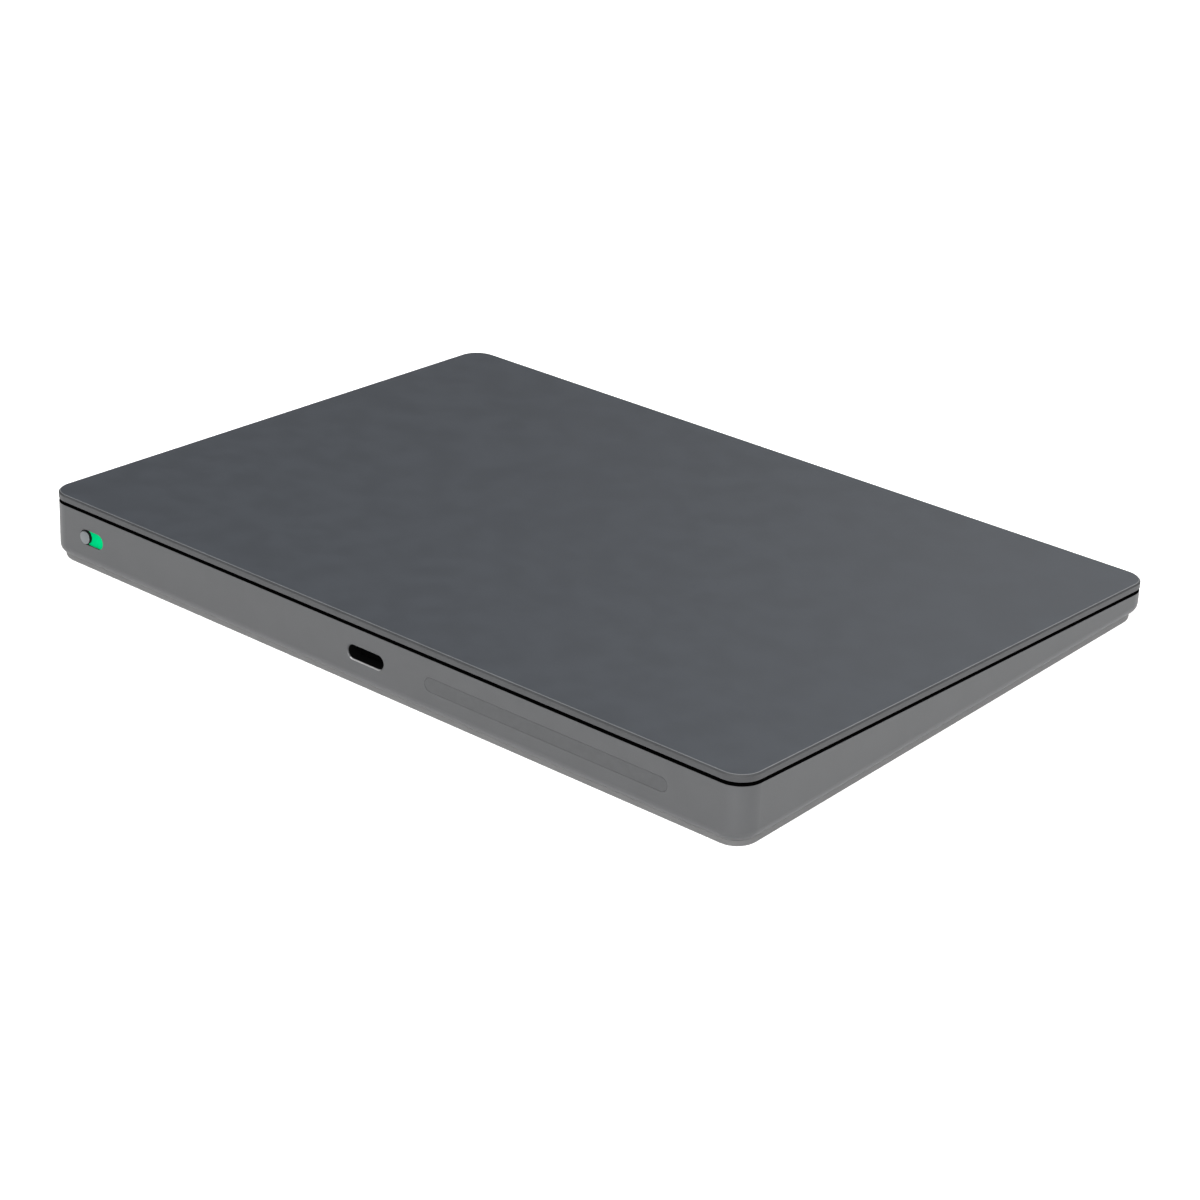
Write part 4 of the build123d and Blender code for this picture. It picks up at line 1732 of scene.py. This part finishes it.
@dataclass
class HapticEngine:
    """Three wound coils on bobbins, over the poles of the laminated core."""

    shop: Workshop
    wire: float = 0.1 * MM
    pitch: float = 0.208 * MM
    flange: float = 0.4 * MM
    bore: tuple[float, float] = (5.1 * MM, 2.1 * MM)
    corner: float = 0.55 * MM
    flange_corner: float = 0.5 * MM
    bore_corner: float = 0.06 * MM

    def build(self) -> None:
        """Winds the coils, makes their bobbins and turns the screws."""
        coils = self.shop.deck.solids("haptic_coils")
        path = bmesh.new()
        bobbins = Workbench(self.shop.deck.matrix)
        for coil in coils:
            self._wind(path, coil)
            self._shape_bobbin(bobbins, coil)
        line = bpy.data.meshes.new("winding_path")
        path.to_mesh(line)
        path.free()
        winding = self.shop.wire.cook(
            "coil_windings",
            line,
            self.shop.deck.matrix,
            Wire_Radius=self.wire,
            Sides=6,
            Finish=Slot.COPPER.material(),
        )
        self.shop.hand_in(winding, "housing", Slot.COPPER, "haptic_coils")
        self.shop.hand_in(bobbins.finish("coil_bobbins"), "housing", Slot.SOCKET)
        Screws(self.shop, "haptic_screws", "housing").build()

    def _wind(self, path: bmesh.types.BMesh, coil: Block) -> None:
        """Draws one coil's wire, turn after turn along the pole.

        Args:
            path: The mesh that takes the path's edges.
            coil: The coil's box.
        """
        side = coil.size
        half = (side.y / 2 - self.wire, side.z / 2 - self.wire)
        outline = rounded_outline(half, self.corner, 3)
        start = coil.low.x + self.flange + self.wire
        turns = int((side.x - 2 * self.flange - 2 * self.wire) / self.pitch)
        before = None
        for number in range(turns * len(outline)):
            along, rise = outline[number % len(outline)]
            across = start + self.pitch * number / len(outline)
            spot = Vector((across, coil.middle.y + along, coil.middle.z + rise))
            vert = path.verts.new(spot)
            if before is not None:
                path.edges.new((before, vert))
            before = vert

    def _shape_bobbin(self, bench: Workbench, coil: Block) -> None:
        """Moulds a bobbin: a thin sleeve around the pole with a flange at each end.

        Args:
            bench: The bench to work on.
            coil: The coil's box.
        """
        side = coil.size
        lead = 2.3 * self.wire
        levels = [
            (0.0, 0.0),
            (0.0, self.flange),
            (lead, self.flange),
            (lead, side.x - self.flange),
            (0.0, side.x - self.flange),
            (0.0, side.x),
        ]
        bore = (self.bore[0] / 2, self.bore[1] / 2)
        rings = []
        for inset, across in levels:
            half = (side.y / 2 - inset, side.z / 2 - inset)
            rings.append(self._ring(coil, half, self.flange_corner, across))
        rings += [self._ring(coil, bore, self.bore_corner, across) for across in (side.x, 0.0)]
        bench.tube(rings)

    @staticmethod
    def _ring(coil: Block, half: tuple[float, float], corner: float, across: float) -> list[Vector]:
        """Draws an outline around the pole.

        Args:
            coil: The coil's box.
            half: Half its width and half its height.
            corner: Radius of its corners.
            across: Where it stands along the pole.

        Returns:
            Its points.
        """
        return [
            Vector((coil.low.x + across, coil.middle.y + along, coil.middle.z + rise))
            for along, rise in rounded_outline(half, corner, 3)
        ]


@dataclass
class Suspension:
    """What lets the glass give way: gel pads, corner flexures, ribbon and their screws."""

    shop: Workshop
    press_travel: float = 0.25 * MM
    pad_bulge: float = 0.1 * MM

    def build(self) -> None:
        """Builds the soft pads, the flexures and the screws."""
        self._cast_pads()
        for node in ("rear_right", "rear_left", "front_right", "front_left"):
            self._cut_flexure("flexure_" + node)
        Screws(self.shop, "carrier_screws", "carrier", head_down=True).build()
        Screws(self.shop, "flexure_screws", "housing", head_height=0.4 * MM).build()
        self._bend_ribbon()

    def _cast_pads(self) -> None:
        """Casts the four gel pads."""
        pads = self.shop.deck.solids("force_pads")
        bench = Workbench(self.shop.deck.matrix)
        for pad in pads:
            side = pad.size
            base = Vector((pad.middle.x, pad.middle.y, pad.low.z))
            radius = side.x / 2
            bulge = self.pad_bulge
            profile = [
                (radius - bulge, 0.0, 0.0),
                (radius - 0.2 * bulge, 0.25 * side.z, 0.0),
                (radius, 0.5 * side.z, 0.0),
                (radius - 0.2 * bulge, 0.75 * side.z, 0.0),
                (radius - bulge, side.z, 0.0),
            ]
            bench.turned(base, profile, sides=48)
        piece = bench.finish("gel_pads", 60.0)
        self.shop.hand_in(piece, "carrier", Slot.GEL, "force_pads")
        keep = 1 - self.press_travel / pads[0].size.z
        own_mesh(piece)

    def _cut_flexure(self, node: str) -> None:
        """Makes a leaf from a joined copy of the CAD node.

        Args:
            node: The leaf's CAD node.
        """
        (leaf,) = self.shop.deck.solids(node)
        piece = self._merged_copy(node, node + "_leaf")
        self.shop.hand_in(piece, None, Slot.SPRING, node)
        outward = 1 if leaf.middle.x > 0 else -1
        reach = leaf.size.x / 4
        ends = [
            leaf.frame @ (leaf.middle + Vector((side * outward * reach, 0.0, 0.0)))
            for side in (1, -1)
        ]
        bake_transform(piece)

    def _bend_ribbon(self) -> None:
        """Makes the ribbon to the sensor board."""
        (ribbon,) = self.shop.deck.solids("sensor_ribbon")
        piece = self._merged_copy("sensor_ribbon", "sensor_ribbon_film")
        self.shop.hand_in(piece, "housing", Slot.FILM, "sensor_ribbon")
        anchor = ribbon.frame @ Vector((ribbon.middle.x, ribbon.high.y, ribbon.low.z))
        keep = 1 - self.press_travel / ribbon.size.z
        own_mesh(piece)

    def _merged_copy(self, node: str, name: str) -> bpy.types.Object:
        """Copies a CAD node as one joined mesh, its flat faces merged and smooth shaded up to a crease
        angle.

        Args:
            node: The CAD node.
            name: The copy's name.

        Returns:
            The copy.
        """
        bench = Workbench(Matrix.Identity(4))
        bench.mesh.from_mesh(self.shop.deck.nodes[node].data)
        bmesh.ops.remove_doubles(bench.mesh, verts=bench.mesh.verts, dist=WELD)
        bmesh.ops.dissolve_limit(
            bench.mesh,
            angle_limit=math.radians(1.0),
            verts=bench.mesh.verts,
            edges=bench.mesh.edges,
        )
        return bench.finish(name)


@dataclass
class ChargingPort:
    """The gold contacts on both faces of the port's tongue, and a painted highlight on the mouth's
    bevel.
    """

    shop: Workshop
    ease: float = 0.015 * MM
    shell_metal: float = 0.3 * MM
    lip: float = 0.16 * MM
    lip_skin: float = 0.02 * MM

    def build(self) -> None:
        """Builds the contacts and the lip with its painted highlight."""
        self._lay_contacts()
        self._paint_lip_highlight()

    def _paint_lip_highlight(self) -> None:
        """Lays a thin skin over the mouth's bevel that carries a painted highlight."""
        (shell,) = self.shop.deck.solids("usb_c_shell")
        (tub,) = self.shop.deck.solids("housing")
        face = tub.high.y
        mouth = (shell.size.x / 2 - self.shell_metal, shell.size.z / 2 - self.shell_metal)
        levels = [
            (self.lip, 0.0),
            (0.0, self.lip),
            (-self.lip_skin, self.lip),
            (self.lip - self.lip_skin, 0.0),
        ]
        bench = Workbench(shell.frame)
        rings = []
        for grow, depth in levels:
            half = (mouth[0] + grow, mouth[1] + grow)
            outline = rounded_outline(half, 0.998 * half[1], 10)
            ring = [
                Vector((shell.middle.x + across, face - depth, shell.middle.z + rise))
                for across, rise in outline
            ]
            rings.append(ring)
        bench.tube(rings)
        self.shop.hand_in(bench.finish("port_lip"), "housing", Slot.LIP)

    def _lay_contacts(self) -> None:
        """Lays the contacts, each with a slightly rounded back."""
        bench = Workbench(self.shop.deck.matrix)
        for contact in self.shop.deck.solids("usb_c_contacts"):
            bench.block(contact.low, contact.high, self.ease)
        piece = bench.finish("port_contacts")
        self.shop.hand_in(piece, "housing", Slot.GOLD, "usb_c_contacts")


@dataclass
class BasePad:
    """The foot under the tub: a moulded slab whose lip is let into the tub's rounded lower edge."""

    shop: Workshop
    corner: float = 4.1 * MM
    edge: float = 0.65 * MM
    lip: float = 0.55 * MM
    steps: int = 5

    def build(self) -> None:
        """Moulds the slab with a round lower edge."""
        (slab,) = self.shop.deck.solids("base_pad", level=True)
        side = slab.size
        bench = Workbench(slab.frame)
        profile = []
        for step in range(self.steps + 1):
            angle = math.pi / 2 * step / self.steps
            inset = self.edge * (1 - math.sin(angle))
            profile.append((inset, self.edge * (1 - math.cos(angle))))
        profile.append((0.0, side.z + self.lip))
        base = Vector((slab.middle.x, slab.middle.y, slab.low.z))
        bench.stack(base, (side.x / 2, side.y / 2), self.corner, profile, steps=12)
        self.shop.hand_in(bench.finish("base_slab"), "housing", Slot.PAD, "base_pad")


@dataclass
class PowerSwitch:
    """The round switch knob: a bright, barely domed cap whose round side is painted near-black as
    painted shade.
    """

    shop: Workshop
    edge: float = 0.16 * MM
    dome: float = 0.07 * MM

    def build(self) -> None:
        """Turns the knob about the way that it stands out of the wall."""
        (knob,) = self.shop.deck.solids("switch_knob")
        stand = Matrix.Rotation(-math.pi / 2, 4, "X")
        radius = knob.size.x / 2
        length = knob.size.y
        bench = Workbench(knob.frame @ Matrix.Translation(knob.middle) @ stand)
        rim = length / 2 - self.dome
        profile = [(radius, -length / 2, 0.0), (radius, rim - self.edge, 0.0)]
        for step in range(1, 5):
            angle = math.pi / 2 * step / 4
            reach = radius - self.edge * (1 - math.cos(angle))
            profile.append((reach, rim - self.edge * (1 - math.sin(angle)), 0.0))
        for share in (0.8, 0.6, 0.4, 0.2, 0.05):
            height = rim + self.dome * (1 - share * share)
            profile.append((share * (radius - self.edge), height, 0.0))
        # The side and the start of the rounded edge take material 1, the painted shade; the face takes
        # the aluminium.
        finishes = [1, 1] + [0] * (len(profile) - 2)
        bench.turned(Vector((0, 0, 0)), profile, 64, finishes)
        cap = bench.finish("knob_cap", 40.0)
        for slot in (Slot.KNOB, Slot.KNOB_STEM):
            cap.data.materials.append(slot.material())
        self.shop.hand_in(cap, "power_switch", Slot.KNOB, "switch_knob")


SUB_ASSEMBLIES = (
    TouchPlate,
    BasePad,
    PowerSwitch,
    ChargingPort,
    LogicBoard,
    Battery,
    HapticEngine,
    Suspension,
)


def main() -> None:
    """Builds the pad's looks around its frame."""
    logging.basicConfig(level=logging.INFO, format="%(name)s: %(message)s")
    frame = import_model()
    slots = {entry["node"]: entry["material_slot"] for entry in frame["record"]["subparts"]}
    finishes = {slot.value.name: slot for slot in Slot}
    Studio().build()
    for name, node in frame["nodes"].items():
        finishes[slots[name]].dress(node)
        LOG.info("%s wears %s", name, slots[name])
    shop = Workshop(Deck(frame))
    for make in SUB_ASSEMBLIES:
        make(shop).build()


if __name__ == "__main__":
    main()
